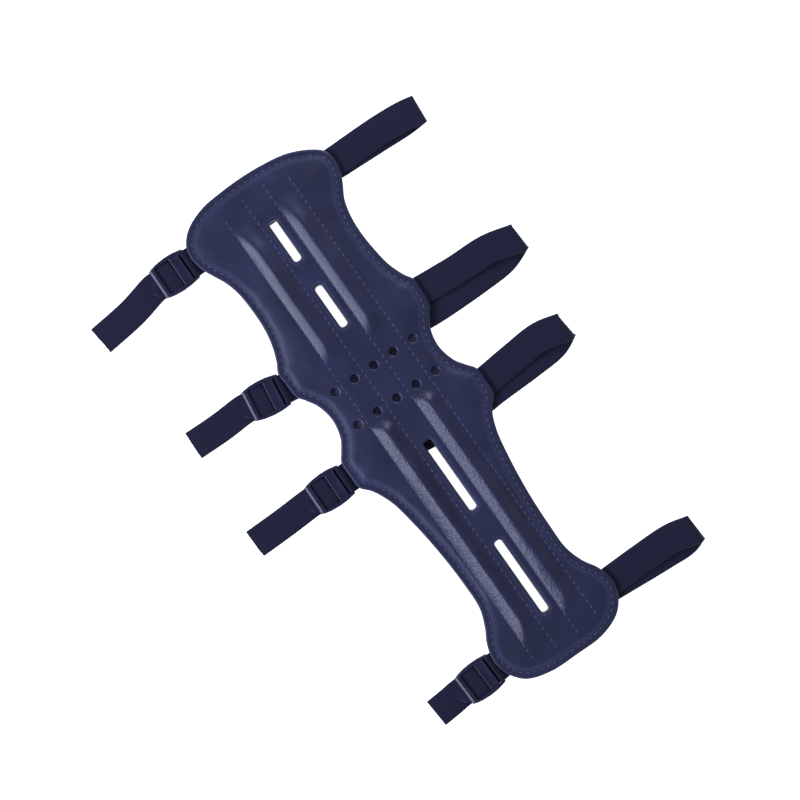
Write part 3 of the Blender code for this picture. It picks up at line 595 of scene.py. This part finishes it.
def webbing_section(width, thick, columns):
    """Half-round edges and faintly ribbed faces, as (across, up, v) points round the section."""
    top = []
    for k in range(columns + 1):
        across = (k / columns - 0.5) * (width - thick)
        top.append((across, thick / 2, k / columns))
    side = [(width / 2 - thick / 2 + thick / 2 * math.sin(t), thick / 2 * math.cos(t), 1.0)
            for t in (math.pi / 4, math.pi / 2, 3 * math.pi / 4)]
    bottom = [(a, -up, v) for a, up, v in reversed(top)]
    other = [(-a, -up, 0.0) for a, up, _ in side]
    return top + side + bottom + other


def make_webbing(name, stations, width, thick, columns=10, frayed=False, seed=0):
    """A band of webbing through (middle, across) stations, with its length and width as its UV."""
    section = webbing_section(width, thick, columns)
    count = len(section)
    rng = np.random.default_rng(100 + seed)
    middles = [s[0] for s in stations]
    along = [0.0]
    for a, b in zip(middles, middles[1:]):
        along.append(along[-1] + (b - a).length)
    points, uv = [], []
    ragged = 0.00045 * np.interp(np.arange(count), np.arange(0, count, 2), rng.uniform(-1, 1, (count + 1) // 2))
    for k, (middle, across) in enumerate(stations):
        before, after = middles[max(0, k - 1)], middles[min(len(middles) - 1, k + 1)]
        ahead = (after - before).normalized()
        side = (across - ahead * across.dot(ahead)).normalized()
        up = ahead.cross(side)
        last = frayed and k == len(stations) - 1
        for n, (a, h, v) in enumerate(section):
            push = ahead * ragged[n] if last else Vector((0, 0, 0))
            points.append(middle + side * a + up * h * (0.8 if last else 1) + push)
            uv.append((along[k], v * width))
    faces = [(r * count + n, r * count + (n + 1) % count, (r + 1) * count + (n + 1) % count, (r + 1) * count + n)
             for r in range(len(stations) - 1) for n in range(count)]
    faces.append(list(range(count))[::-1])
    faces.append(list(range((len(stations) - 1) * count, len(stations) * count)))
    if frayed:
        ahead = (middles[-1] - middles[-2]).normalized()
        side = stations[-1][1].normalized()
        for a in np.linspace(-0.46, 0.46, 26) + rng.normal(0, 0.012, 26):
            root = middles[-1] + side * a * width + Vector((0, 0, rng.uniform(-0.0004, 0.0004))) - ahead * 0.0004
            lean = rng.normal(0, 0.25)
            length = rng.uniform(0.0006, 0.0016)
            tip = root + (ahead + side * lean).normalized() * length
            tip.z = max(tip.z, 0.0002)
            base = len(points)
            thin = 0.00009
            for spot, size in ((root, thin), (tip, thin * 0.5)):
                for t in (0.5, 2.6, 4.7):
                    points.append(spot + side * math.cos(t) * size + Vector((0, 0, math.sin(t) * size)))
                    uv.append((along[-1], (a + 0.5) * width))
            faces += [(base + k, base + 3 + k, base + 3 + (k + 1) % 3, base + (k + 1) % 3) for k in range(3)]
            faces += [(base, base + 1, base + 2), (base + 5, base + 4, base + 3)]
    piece = new_piece(name, points, faces, uv)
    only(piece)
    edit(bpy.ops.mesh.normals_make_consistent, inside=False)
    bpy.ops.object.shade_smooth_by_angle(angle=math.radians(50))
    return piece


def loop_stations(strap):
    edge, second = Vector(strap["top"][0]), Vector(strap["top"][1])
    sewn = edge + (edge - second).normalized() * SEWN_LENGTH
    crest = RUN_Z + 2 * LOOP_RADIUS
    tip = Vector(strap["top"][-1])
    inward = (tip - Vector(strap["top"][-2])).normalized() * LOOP_RADIUS
    heights = [SEWN_Z + share * (crest - SEWN_Z) for share in LOOP_RISE]
    top = plan_stations([tuple(sewn)] + strap["top"][:-1] + [tuple(tip - inward)], heights, 14)
    under_points = [tuple(tip - inward)] + strap["under"]
    under = plan_stations(under_points, [RUN_Z] * len(under_points), 12)
    under = [(spot, -across) for spot, across in under]
    turn_middle = Vector((*(tip - inward), RUN_Z + LOOP_RADIUS))
    turn = []
    for k in range(1, 16):
        angle = math.pi * k / 16
        across = top[-1][1].lerp(under[0][1], k / 16)
        out = Vector((across.y, -across.x, 0)).normalized()
        reach = out * math.sin(angle) + Vector((0, 0, math.cos(angle)))
        turn.append((turn_middle + LOOP_RADIUS * reach, across))
    return top + turn + under


def run_stations(strap):
    start, bar, grip = Vector(strap["under"][-1]), Vector(strap["bar"]), Vector(strap["grip"])
    ahead = (grip - bar).normalized()
    onward = (start - Vector(strap["under"][-2])).normalized()
    end = bar - ahead * RUN_CLEAR
    straight = WEBBING_WIDTH / 2
    points = [start, start + onward * straight, end - ahead * straight, end]
    return plan_stations([tuple(p) for p in points], [RUN_Z] * 4, 14)


def tail_stations(strap):
    """From just before the tab bar to the cut end, and the number of the station under the grip."""
    bar, grip = Vector(strap["bar"]), Vector(strap["grip"])
    ahead = (grip - bar).normalized()
    profile = [(-RUN_CLEAR, 0)] + [(MIDDLE_BAR_AT + along, share) for along, share in THREADING]
    profile.append((BUCKLE_LENGTH + 0.003, 0))
    points = [tuple(bar + ahead * along) for along, _ in profile] + strap["tail"]
    heights = [RUN_Z + share * CREST_RISE for _, share in profile] + [RUN_Z] * len(strap["tail"])
    stations = plan_stations(points, heights, 9)
    under_grip = max(k for k, (spot, _) in enumerate(stations)
                     if (Vector(spot[:2]) - bar).dot(ahead) < BUCKLE_LENGTH - 0.002)
    return stations, under_grip


def make_tab(number, strap):
    """Webbing folded round the buckle's bar, both ends sewn in under the lobe."""
    bar, grip = Vector(strap["bar"]), Vector(strap["grip"])
    ahead = (grip - bar).normalized()
    thick = 0.00066
    low, high, radius = 0.00205, 0.00276, 0.00160
    path = [(-0.0205, low), (-0.012, low), (-0.0045, low), (-0.0015, low + 0.00008)]
    path += [(radius * math.sin(t), TAB_BAR_Z - radius * math.cos(t)) for t in
             [math.pi * k / 14 for k in range(1, 15)]]
    path += [(-0.0014, TAB_BAR_Z + radius - 0.0006), (-0.0030, high + 0.0008), (-0.0046, high + 0.0001),
             (-0.0065, high), (-0.012, high), (-0.0205, high)]
    fine = resample(path, 0.0005)
    side = across_of(ahead)
    stations = [(Vector((*(bar + ahead * along), z)), side) for along, z in fine]
    return make_webbing(f"tab_{number}_webbing", stations, WEBBING_WIDTH, thick, columns=6, seed=number)


# ---- buckle --------------------------------------------------------------------------------------
def start_box(low, high):
    """A box to shape, as the active object."""
    low, high = Vector(low), Vector(high)
    deselect()
    bpy.ops.mesh.primitive_cube_add(size=1, location=(low + high) / 2, scale=high - low)
    bpy.ops.object.transform_apply(location=True, rotation=True, scale=True)
    return bpy.context.object


def edit(operator, **settings):
    bpy.ops.object.mode_set(mode="EDIT")
    bpy.ops.mesh.select_all(action="SELECT")
    operator(**settings)
    bpy.ops.object.mode_set(mode="OBJECT")


def make_rail(side):
    """A side rail, barrel-shaped in plan and lower at both ends."""
    rail = start_box((-0.0012, 0.0099, -0.0019), (BUCKLE_LENGTH, 0.0125, 0.0025))
    edit(bpy.ops.mesh.subdivide, number_cuts=11)
    bulge_at = [-0.0012, 0.001, 0.006, 0.012, 0.018, 0.0225, 0.0246, 0.025]
    bulge = [0.0111, 0.0115, 0.0123, 0.0125, 0.0121, 0.0112, 0.0106, 0.0102]
    top_at = [-0.0012, 0.001, 0.005, 0.012, 0.019, 0.0225, 0.025]
    top = [0.0012, 0.0018, 0.0024, 0.0025, 0.0023, 0.0019, 0.0012]
    for vert in rail.data.vertices:
        outer = np.interp(vert.co.x, bulge_at, bulge)
        share = (vert.co.y - 0.0099) / 0.0026
        vert.co.y = 0.0099 + share * (outer - 0.0099)
        lift = (vert.co.z + 0.0019) / 0.0044
        crown = np.interp(vert.co.x, top_at, top) - 0.00035 * share ** 3
        vert.co.z = -0.0019 + lift * (crown + 0.0019)
        vert.co.y *= side
    edit(bpy.ops.mesh.normals_make_consistent, inside=False)
    bevel_edges(rail, 0.0004, 3, 50)
    return rail


def make_bar(x, z, radius, reach=0.0108):
    deselect()
    bpy.ops.mesh.primitive_cylinder_add(vertices=24, radius=radius, depth=2 * reach, location=(x, 0, z),
                                        rotation=(math.pi / 2, 0, 0))
    bpy.ops.object.transform_apply(location=True, rotation=True, scale=True)
    bar = bpy.context.object
    bevel_edges(bar, 0.0001, 1, 60)
    return bar


def make_plate(low, high, crown, bevel, fall=0.0):
    """A bar across the buckle whose top is crowned along X and falls towards +X."""
    plate = start_box(low, high)
    edit(bpy.ops.mesh.subdivide, number_cuts=7)
    middle, half = (low[0] + high[0]) / 2, (high[0] - low[0]) / 2
    for vert in plate.data.vertices:
        share = (vert.co.z - low[2]) / (high[2] - low[2])
        off = (vert.co.x - middle) / half
        vert.co.z += share * (crown * (1 - off ** 2) - fall * (1 + off) / 2)
    bevel_edges(plate, bevel, 3, 50)
    return plate


def make_tongue():
    """The thumb tongue: a half-oval plate with a raised rim."""
    deselect()
    bpy.ops.mesh.primitive_circle_add(vertices=48, radius=1, fill_type="NGON", location=(0, 0, 0))
    tongue = bpy.context.object
    for vert in tongue.data.vertices:
        vert.co.x = BUCKLE_LENGTH - 0.0019 + max(vert.co.x, 0) * 0.0087
        vert.co.y *= 0.0090
        vert.co.z = -0.0018
    bpy.ops.object.mode_set(mode="EDIT")
    bpy.ops.mesh.select_all(action="SELECT")
    bpy.ops.mesh.remove_doubles(threshold=0.00002)
    bpy.ops.mesh.select_all(action="SELECT")
    bpy.ops.mesh.extrude_region_move(TRANSFORM_OT_translate={"value": (0, 0, 0.0007)})
    bpy.ops.mesh.inset(thickness=0.0008)
    bpy.ops.mesh.inset(thickness=0.00035, depth=-0.0003)
    bpy.ops.mesh.select_all(action="SELECT")
    bpy.ops.mesh.normals_make_consistent(inside=False)
    bpy.ops.object.mode_set(mode="OBJECT")
    bevel_edges(tongue, 0.00012, 2, 40)
    return tongue


def make_tooth(y):
    """A bead on the grip's inner edge that bites the webbing."""
    deselect()
    bpy.ops.mesh.primitive_uv_sphere_add(segments=12, ring_count=8, radius=0.00068,
                                         location=(GRIP_LIP, y, 0.0019))
    tooth = bpy.context.object
    tooth.scale = (1.6, 0.82, 1.25)
    bpy.ops.object.transform_apply(location=True, rotation=True, scale=True)
    return tooth


def make_buckle_pattern():
    """The whole buckle: X to the grip end, with the tab bar's middle at the origin."""
    parts = [make_rail(1), make_rail(-1), make_bar(0, 0, 0.0009), make_bar(MIDDLE_BAR_AT, -0.0011, 0.0008)]
    parts.append(make_plate((0.0028, -PLATE_REACH, 0.0012), (0.0094, PLATE_REACH, 0.0022), -0.00035, 0.00018))
    parts.append(make_plate((0.0090, -PLATE_REACH, 0.0011), (0.0096, PLATE_REACH, 0.00245),
                            0.0, 0.00010, fall=0.00020))
    parts.append(make_plate((0.0229, -PLATE_REACH, -0.0019), (0.0250, PLATE_REACH, 0.0024),
                            0.00010, 0.0003, fall=GRIP_FALL))
    parts.append(make_plate((0.0212, -PLATE_REACH, 0.0014), (0.0234, PLATE_REACH, 0.0021), 0.0, 0.0003))
    parts += [make_tooth(-0.0094 + 0.00145 * k) for k in range(14)]
    parts.append(make_tongue())
    deselect()
    for part in parts:
        part.select_set(True)
    bpy.context.view_layer.objects.active = parts[0]
    bpy.ops.object.join()
    pattern = bpy.context.object
    bpy.ops.object.shade_smooth_by_angle(angle=math.radians(35))
    mesh = pattern.data
    bpy.data.objects.remove(pattern)
    return mesh


def make_buckle(number, pattern):
    joint = JOINTS[f"buckle_{number}_tilt"]
    axis = Vector(joint["axis"]).normalized()
    heading = math.atan2(axis.x, -axis.y)
    mesh = pattern.copy()
    mesh.transform(Matrix.Translation(joint["pos_m"]) @ Matrix.Rotation(heading, 4, "Z"))
    buckle = bpy.data.objects.new(f"buckle_{number}_moulding", mesh)
    bpy.context.scene.collection.objects.link(buckle)
    return buckle


# ---- materials -----------------------------------------------------------------------------------
def linear(hex_colour):
    """sRGB hex as linear RGBA."""
    channels = [int(hex_colour[i:i + 2], 16) / 255 for i in (0, 2, 4)]
    return (*[c / 12.92 if c <= 0.04045 else ((c + 0.055) / 1.055) ** 2.4 for c in channels], 1)


def add_node(tree, kind, values=None, links=None, **settings):
    """A node with its settings, its inputs' values and its links."""
    made = tree.nodes.new(kind)
    for key, value in settings.items():
        setattr(made, key, value)
    for key, value in (values or {}).items():
        made.inputs[key].default_value = value
    for key, source in (links or {}).items():
        tree.links.new(source, made.inputs[key])
    return made


def start_material(name, **sockets):
    material = bpy.data.materials.new(name)
    material.use_nodes = True
    tree = material.node_tree
    shader = tree.nodes["Principled BSDF"]
    for key, value in sockets.items():
        shader.inputs[key.replace("_", " ")].default_value = value
    return material, tree, shader


def wire(tree, shader, colour, normal):
    tree.links.new(colour, shader.inputs["Base Color"])
    tree.links.new(normal, shader.inputs["Normal"])


def two_tone(tree, shader, factor, dark, light, low=0.35, high=0.65):
    """Base colour between two hex colours by a factor from 0 to 1."""
    ramp = add_node(tree, "ShaderNodeValToRGB", links={"Fac": factor})
    ramp.color_ramp.elements[0].position, ramp.color_ramp.elements[1].position = low, high
    ramp.color_ramp.elements[0].color, ramp.color_ramp.elements[1].color = linear(dark), linear(light)
    return ramp


def leathercloth():
    # Polyurethane-coated cloth, embossed with a fine grain: a soft satin sheen, small creases where it
    # is stretched over the stays, and paler rims that are partly rubbing, partly painted highlight.
    material, tree, shader = start_material("polyurethane_leathercloth_embossed", IOR=1.50)
    place = add_node(tree, "ShaderNodeTexCoord").outputs["Object"]
    crumple = add_node(tree, "ShaderNodeAttribute", attribute_name="crumple").outputs["Fac"]
    # Mask of the paler rims: rubbing and painted highlights.
    rub_and_highlight = add_node(tree, "ShaderNodeAttribute", attribute_name="rub_and_highlight").outputs["Fac"]
    grain = add_node(tree, "ShaderNodeTexVoronoi", {"Scale": 1 / (0.9 * MM), "Randomness": 1.0},
                     {"Vector": place}, feature="F1")
    fine = add_node(tree, "ShaderNodeTexNoise", {"Scale": 1 / (0.45 * MM), "Detail": 3.0}, {"Vector": place})
    broad = add_node(tree, "ShaderNodeTexNoise", {"Scale": 1 / (22 * MM), "Detail": 3.0}, {"Vector": place})
    long_way = add_node(tree, "ShaderNodeMapping", {"Scale": (1.0, 2.1, 1.0)}, {"Vector": place})
    creases = add_node(tree, "ShaderNodeTexNoise", {"Scale": 1 / (2.4 * MM), "Detail": 2.0, "Roughness": 0.50},
                       {"Vector": long_way.outputs["Vector"]})
    cells = add_node(tree, "ShaderNodeTexVoronoi", {"Scale": 1 / (1.9 * MM)},
                     {"Vector": long_way.outputs["Vector"]}, feature="SMOOTH_F1")
    both = add_node(tree, "ShaderNodeMath", links={0: creases.outputs["Fac"], 1: cells.outputs["Distance"]},
                    operation="ADD")
    crumpled = add_node(tree, "ShaderNodeMath", links={0: both.outputs[0], 1: crumple}, operation="MULTIPLY")
    skin = add_node(tree, "ShaderNodeMath", {1: 0.035}, {0: grain.outputs["Distance"]}, operation="MULTIPLY")
    pores = add_node(tree, "ShaderNodeMath", {1: 0.03}, {0: fine.outputs["Fac"], 2: skin.outputs[0]},
                     operation="MULTIPLY_ADD")
    height = add_node(tree, "ShaderNodeMath", {1: 1.0}, {0: crumpled.outputs[0], 2: pores.outputs[0]},
                      operation="MULTIPLY_ADD")
    bump = add_node(tree, "ShaderNodeBump", {"Strength": 1.0, "Distance": 0.48 * MM},
                    {"Height": height.outputs[0]})
    tone = two_tone(tree, shader, broad.outputs["Fac"], "161a36", "1f2445", 0.30, 0.70)
    # Paler colour where the mask is high, broken into spots: rubbing on the edges and painted highlights on the
    # rims of the padding, slots and holes.
    rubbed_and_highlit = add_node(tree, "ShaderNodeMix", {"B": linear("3c4268")}, {"A": tone.outputs["Color"]},
                      data_type="RGBA")
    rub_and_highlight_spots = add_node(tree, "ShaderNodeMath", links={0: rub_and_highlight, 1: fine.outputs["Fac"]}, operation="MULTIPLY")
    tree.links.new(rub_and_highlight_spots.outputs[0], rubbed_and_highlit.inputs["Factor"])
    rough = add_node(tree, "ShaderNodeMapRange", {"To Min": 0.35, "To Max": 0.41}, {"Value": broad.outputs["Fac"]})
    tree.links.new(rubbed_and_highlit.outputs["Result"], shader.inputs["Base Color"])
    tree.links.new(rough.outputs["Result"], shader.inputs["Roughness"])
    tree.links.new(bump.outputs["Normal"], shader.inputs["Normal"])
    return material


def knit_lining():
    # Warp-knit polyester: rows of loops about a millimetre apart, matt with a little fuzz.
    material, tree, shader = start_material("polyester_warp_knit", Roughness=0.9, Sheen_Weight=0.25,
                                            Sheen_Roughness=0.5)
    place = add_node(tree, "ShaderNodeTexCoord").outputs["Object"]
    wales = add_node(tree, "ShaderNodeTexWave", {"Scale": 1 / (0.95 * MM) * 0.314, "Distortion": 0.6,
                                                 "Detail": 1.0}, {"Vector": place}, bands_direction="X")
    courses = add_node(tree, "ShaderNodeTexWave", {"Scale": 1 / (1.25 * MM) * 0.314, "Distortion": 0.6,
                                                   "Detail": 1.0}, {"Vector": place}, bands_direction="Y")
    knit = add_node(tree, "ShaderNodeMath", links={0: wales.outputs["Fac"], 1: courses.outputs["Fac"]},
                    operation="MULTIPLY")
    bump = add_node(tree, "ShaderNodeBump", {"Strength": 0.7, "Distance": 0.25 * MM}, {"Height": knit.outputs[0]})
    tone = two_tone(tree, shader, knit.outputs[0], "33364c", "5a5e7a", 0.0, 0.8)
    wire(tree, shader, tone.outputs["Color"], bump.outputs["Normal"])
    return material


def webbing_weave(name, dark, light, cord, pick, sheen):
    """Woven narrow fabric: cords along its length, crossed by picks, on the piece's own UV in metres."""
    material, tree, shader = start_material(name, Roughness=0.78, Sheen_Weight=sheen, Sheen_Roughness=0.45,
                                            Specular_IOR_Level=0.27)
    place = add_node(tree, "ShaderNodeUVMap", uv_map="along_across").outputs["UV"]
    split = add_node(tree, "ShaderNodeSeparateXYZ", links={"Vector": place})
    waves = []
    for axis, size in (("Y", cord), ("X", pick)):
        turn = add_node(tree, "ShaderNodeMath", {1: 2 * math.pi / size}, {0: split.outputs[axis]},
                        operation="MULTIPLY")
        waves.append(add_node(tree, "ShaderNodeMath", links={0: turn.outputs[0]}, operation="SINE").outputs[0])
    weave = add_node(tree, "ShaderNodeMath", {1: 0.45}, {0: waves[1], 2: waves[0]}, operation="MULTIPLY_ADD")
    fuzz = add_node(tree, "ShaderNodeTexNoise", {"Scale": 1 / (0.5 * MM), "Detail": 3.0}, {"Vector": place})
    height = add_node(tree, "ShaderNodeMath", {1: 0.8}, {0: fuzz.outputs["Fac"], 2: weave.outputs[0]},
                      operation="MULTIPLY_ADD")
    span = add_node(tree, "ShaderNodeMapRange", {"From Min": -1.2, "From Max": 2.0}, {"Value": height.outputs[0]})
    bump = add_node(tree, "ShaderNodeBump", {"Strength": 0.7, "Distance": 0.16 * MM},
                    {"Height": span.outputs["Result"]})
    tone = two_tone(tree, shader, span.outputs["Result"], dark, light, 0.15, 0.9)
    wire(tree, shader, tone.outputs["Color"], bump.outputs["Normal"])
    return material


def moulded_acetal():
    # Injection-moulded acetal with a fine spark-eroded texture: dark, hard, with soft highlights.
    material, tree, shader = start_material("acetal_moulded", IOR=1.48)
    place = add_node(tree, "ShaderNodeTexCoord").outputs["Object"]
    texture = add_node(tree, "ShaderNodeTexNoise", {"Scale": 1 / (0.30 * MM), "Detail": 2.0}, {"Vector": place})
    flow = add_node(tree, "ShaderNodeTexNoise", {"Scale": 1 / (7 * MM), "Detail": 2.0}, {"Vector": place})
    bump = add_node(tree, "ShaderNodeBump", {"Strength": 0.12, "Distance": 0.05 * MM},
                    {"Height": texture.outputs["Fac"]})
    rough = add_node(tree, "ShaderNodeMapRange", {"To Min": 0.26, "To Max": 0.42}, {"Value": flow.outputs["Fac"]})
    tone = two_tone(tree, shader, flow.outputs["Fac"], "0d1130", "121737")
    tree.links.new(tone.outputs["Color"], shader.inputs["Base Color"])
    tree.links.new(rough.outputs["Result"], shader.inputs["Roughness"])
    tree.links.new(bump.outputs["Normal"], shader.inputs["Normal"])
    return material


def plain_fibre(name, dark, light, size, rough, depth):
    """A fibrous or cellular material whose grain is that many metres across."""
    material, tree, shader = start_material(name, Roughness=rough)
    place = add_node(tree, "ShaderNodeTexCoord").outputs["Object"]
    grain = add_node(tree, "ShaderNodeTexNoise", {"Scale": 1 / size, "Detail": 3.0}, {"Vector": place})
    bump = add_node(tree, "ShaderNodeBump", {"Strength": 0.6, "Distance": depth}, {"Height": grain.outputs["Fac"]})
    tone = two_tone(tree, shader, grain.outputs["Fac"], dark, light)
    wire(tree, shader, tone.outputs["Color"], bump.outputs["Normal"])
    return material


LEATHER = leathercloth()
LINING = knit_lining()
# Woven elastic: rubber cords about a millimetre apart under textured polyester, slightly fuzzy.
ELASTIC = webbing_weave("polyester_woven_elastic", "0b0e22", "161a36", 0.00115, 0.0009, 0.05)
# Plain-woven polyester webbing, thinner and tighter than the elastic.
WEBBING = webbing_weave("polyester_plain_webbing", "0b0e22", "151933", 0.0013, 0.0011, 0.04)
ACETAL = moulded_acetal()
# Bonded polyester sewing thread, a little paler than the skin and faintly shiny.
THREAD = plain_fibre("polyester_sewing_thread", "42455c", "5a5e78", 0.0004, 0.55, 0.00005)
# Closed-cell polyethylene foam, matt and dark.
FOAM = plain_fibre("polyethylene_foam_closed_cell", "2a2b31", "3c3d45", 0.0011, 0.95, 0.0002)
# Extruded polyethylene strip, off-white and waxy.
STAY = plain_fibre("polyethylene_extruded_strip", "cfcfc8", "dcdcd5", 0.004, 0.5, 0.00002)


def finish(piece, material, slot, *nodes):
    piece.data.materials.clear()
    piece.data.materials.append(material)
    if nodes:
        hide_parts(*nodes)
    return piece


# ---- assembly ------------------------------------------------------------------------------------
def build_panel():
    cover = finish(make_cover(), LEATHER, "leathercloth", "cover")
    openings = [slot_loop(*slot, 0.0, 0.0012) for slot in SLOTS]
    lining = finish(make_slab("lining_knit", OUTLINE[::2], openings, LINING_BOTTOM, LINING_TOP, 0.0050, 0.00004),
                    LINING, "knit_lining", "lining")
    pieces = [cover, lining]
    for letter in SEAMS:
        pieces.append(finish(make_stitches(f"seam_{letter}_stitches", seam_places(letter)), THREAD, "thread",
                             f"channel_stitching_{letter}"))
    pieces.append(finish(make_stitches("edge_stitches", edge_places()), THREAD, "thread", "edge_stitching"))
    for piece in pieces:
        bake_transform(piece)
    upper = finish(make_foam("foam_pad_upper", True), FOAM, "foam", "foam_upper_arm")
    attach(upper, "upper_arm_section")
    lower = finish(make_foam("foam_pad_forearm", False), FOAM, "foam", "foam_forearm")
    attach(lower, "forearm_section")
    for part, (start, end), section in zip(("upper", "forearm"), STAYS, ("upper_arm_section", "forearm_section")):
        for side, seam in zip(("left", "right"), RIB_SEAMS):
            strip = finish(make_stay(part, side, seam, start, end), STAY, "stay", f"stay_{part}_{side}")
            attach(strip, section)
    return lining


def build_straps(pattern):
    runs = []
    for number, strap in enumerate(STRAPS, 1):
        section = "upper_arm_section" if number < 3 else "forearm_section"
        loop = make_webbing(f"strap_{number}_loop_webbing", loop_stations(strap), WEBBING_WIDTH, WEBBING_THICK)
        finish(loop, ELASTIC, "elastic", f"strap_{number}_loop")
        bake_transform(loop)
        run = make_webbing(f"strap_{number}_run_webbing", run_stations(strap), WEBBING_WIDTH, WEBBING_THICK)
        finish(run, ELASTIC, "elastic", f"strap_{number}_run")
        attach(run, section)
        runs.append(run)
        stations, split = tail_stations(strap)
        threaded = make_webbing(f"strap_{number}_threaded_webbing", stations[:split + 1], WEBBING_WIDTH,
                                WEBBING_THICK)
        finish(threaded, ELASTIC, "elastic", f"strap_{number}_tail")
        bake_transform(threaded)
        tail = make_webbing(f"strap_{number}_tail_webbing", stations[split:], WEBBING_WIDTH, WEBBING_THICK,
                            frayed=True, seed=number)
        finish(tail, ELASTIC, "elastic", f"strap_{number}_tail")
        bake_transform(tail)
        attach(finish(make_tab(number, strap), WEBBING, "tab_webbing", f"tab_{number}"), section)
        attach(finish(make_buckle(number, pattern), ACETAL, "buckle_acetal", f"buckle_{number}"),
                f"buckle_{number}_frame")
    return runs


def build_studio():
    """A white table, a long key lamp on the buckle side, and a small fill lamp beyond the other side."""
    deselect()
    bpy.ops.mesh.primitive_plane_add(size=6, location=(0, 0, -0.0004))
    table = bpy.context.object
    table.name = "table_top"
    material, tree, shader = start_material("table_white", Roughness=0.9)
    shader.inputs["Base Color"].default_value = linear("ffffff")
    shader.inputs["Emission Color"].default_value = linear("ffffff")
    shader.inputs["Emission Strength"].default_value = 0.95
    table.data.materials.append(material)
    world = bpy.data.worlds.new("studio")
    bpy.context.scene.world = world
    world.use_nodes = True
    world.node_tree.nodes["Background"].inputs["Color"].default_value = (0.92, 0.95, 1.0, 1)
    world.node_tree.nodes["Background"].inputs["Strength"].default_value = 0.36
    for name, place, width, height, power in (("key", (-2.02, 0.38, 1.46), 2.9, 0.56, 78.0),
                                              ("fill", (0.75, 0.95, 0.85), 0.7, 0.7, 9.0)):
        lamp = bpy.data.lights.new(name, "AREA")
        lamp.shape, lamp.size, lamp.size_y, lamp.energy = "RECTANGLE", width, height, power
        lamp.color = (0.71, 0.74, 1.0)
        holder = bpy.data.objects.new(name, lamp)
        bpy.context.scene.collection.objects.link(holder)
        holder.location = place
        holder.rotation_euler = Vector(place).to_track_quat("Z", "Y").to_euler()
    bpy.context.scene.view_settings.view_transform = "Standard"


def place_camera():
    """Straight above, turned so that the guard's length runs from upper left to lower right."""
    lens = bpy.data.cameras.new("camera")
    lens.lens, lens.sensor_width = 100, 36
    camera = bpy.data.objects.new("camera", lens)
    bpy.context.scene.collection.objects.link(camera)
    field, middle_height = 0.525, 0.006
    camera.location = (0.0009, 0.0114, middle_height + field * lens.lens / lens.sensor_width)
    camera.rotation_euler = (0, 0, math.radians(-35.13))
    bpy.context.scene.camera = camera


lining_piece = build_panel()
run_pieces = build_straps(make_buckle_pattern())
build_studio()
place_camera()
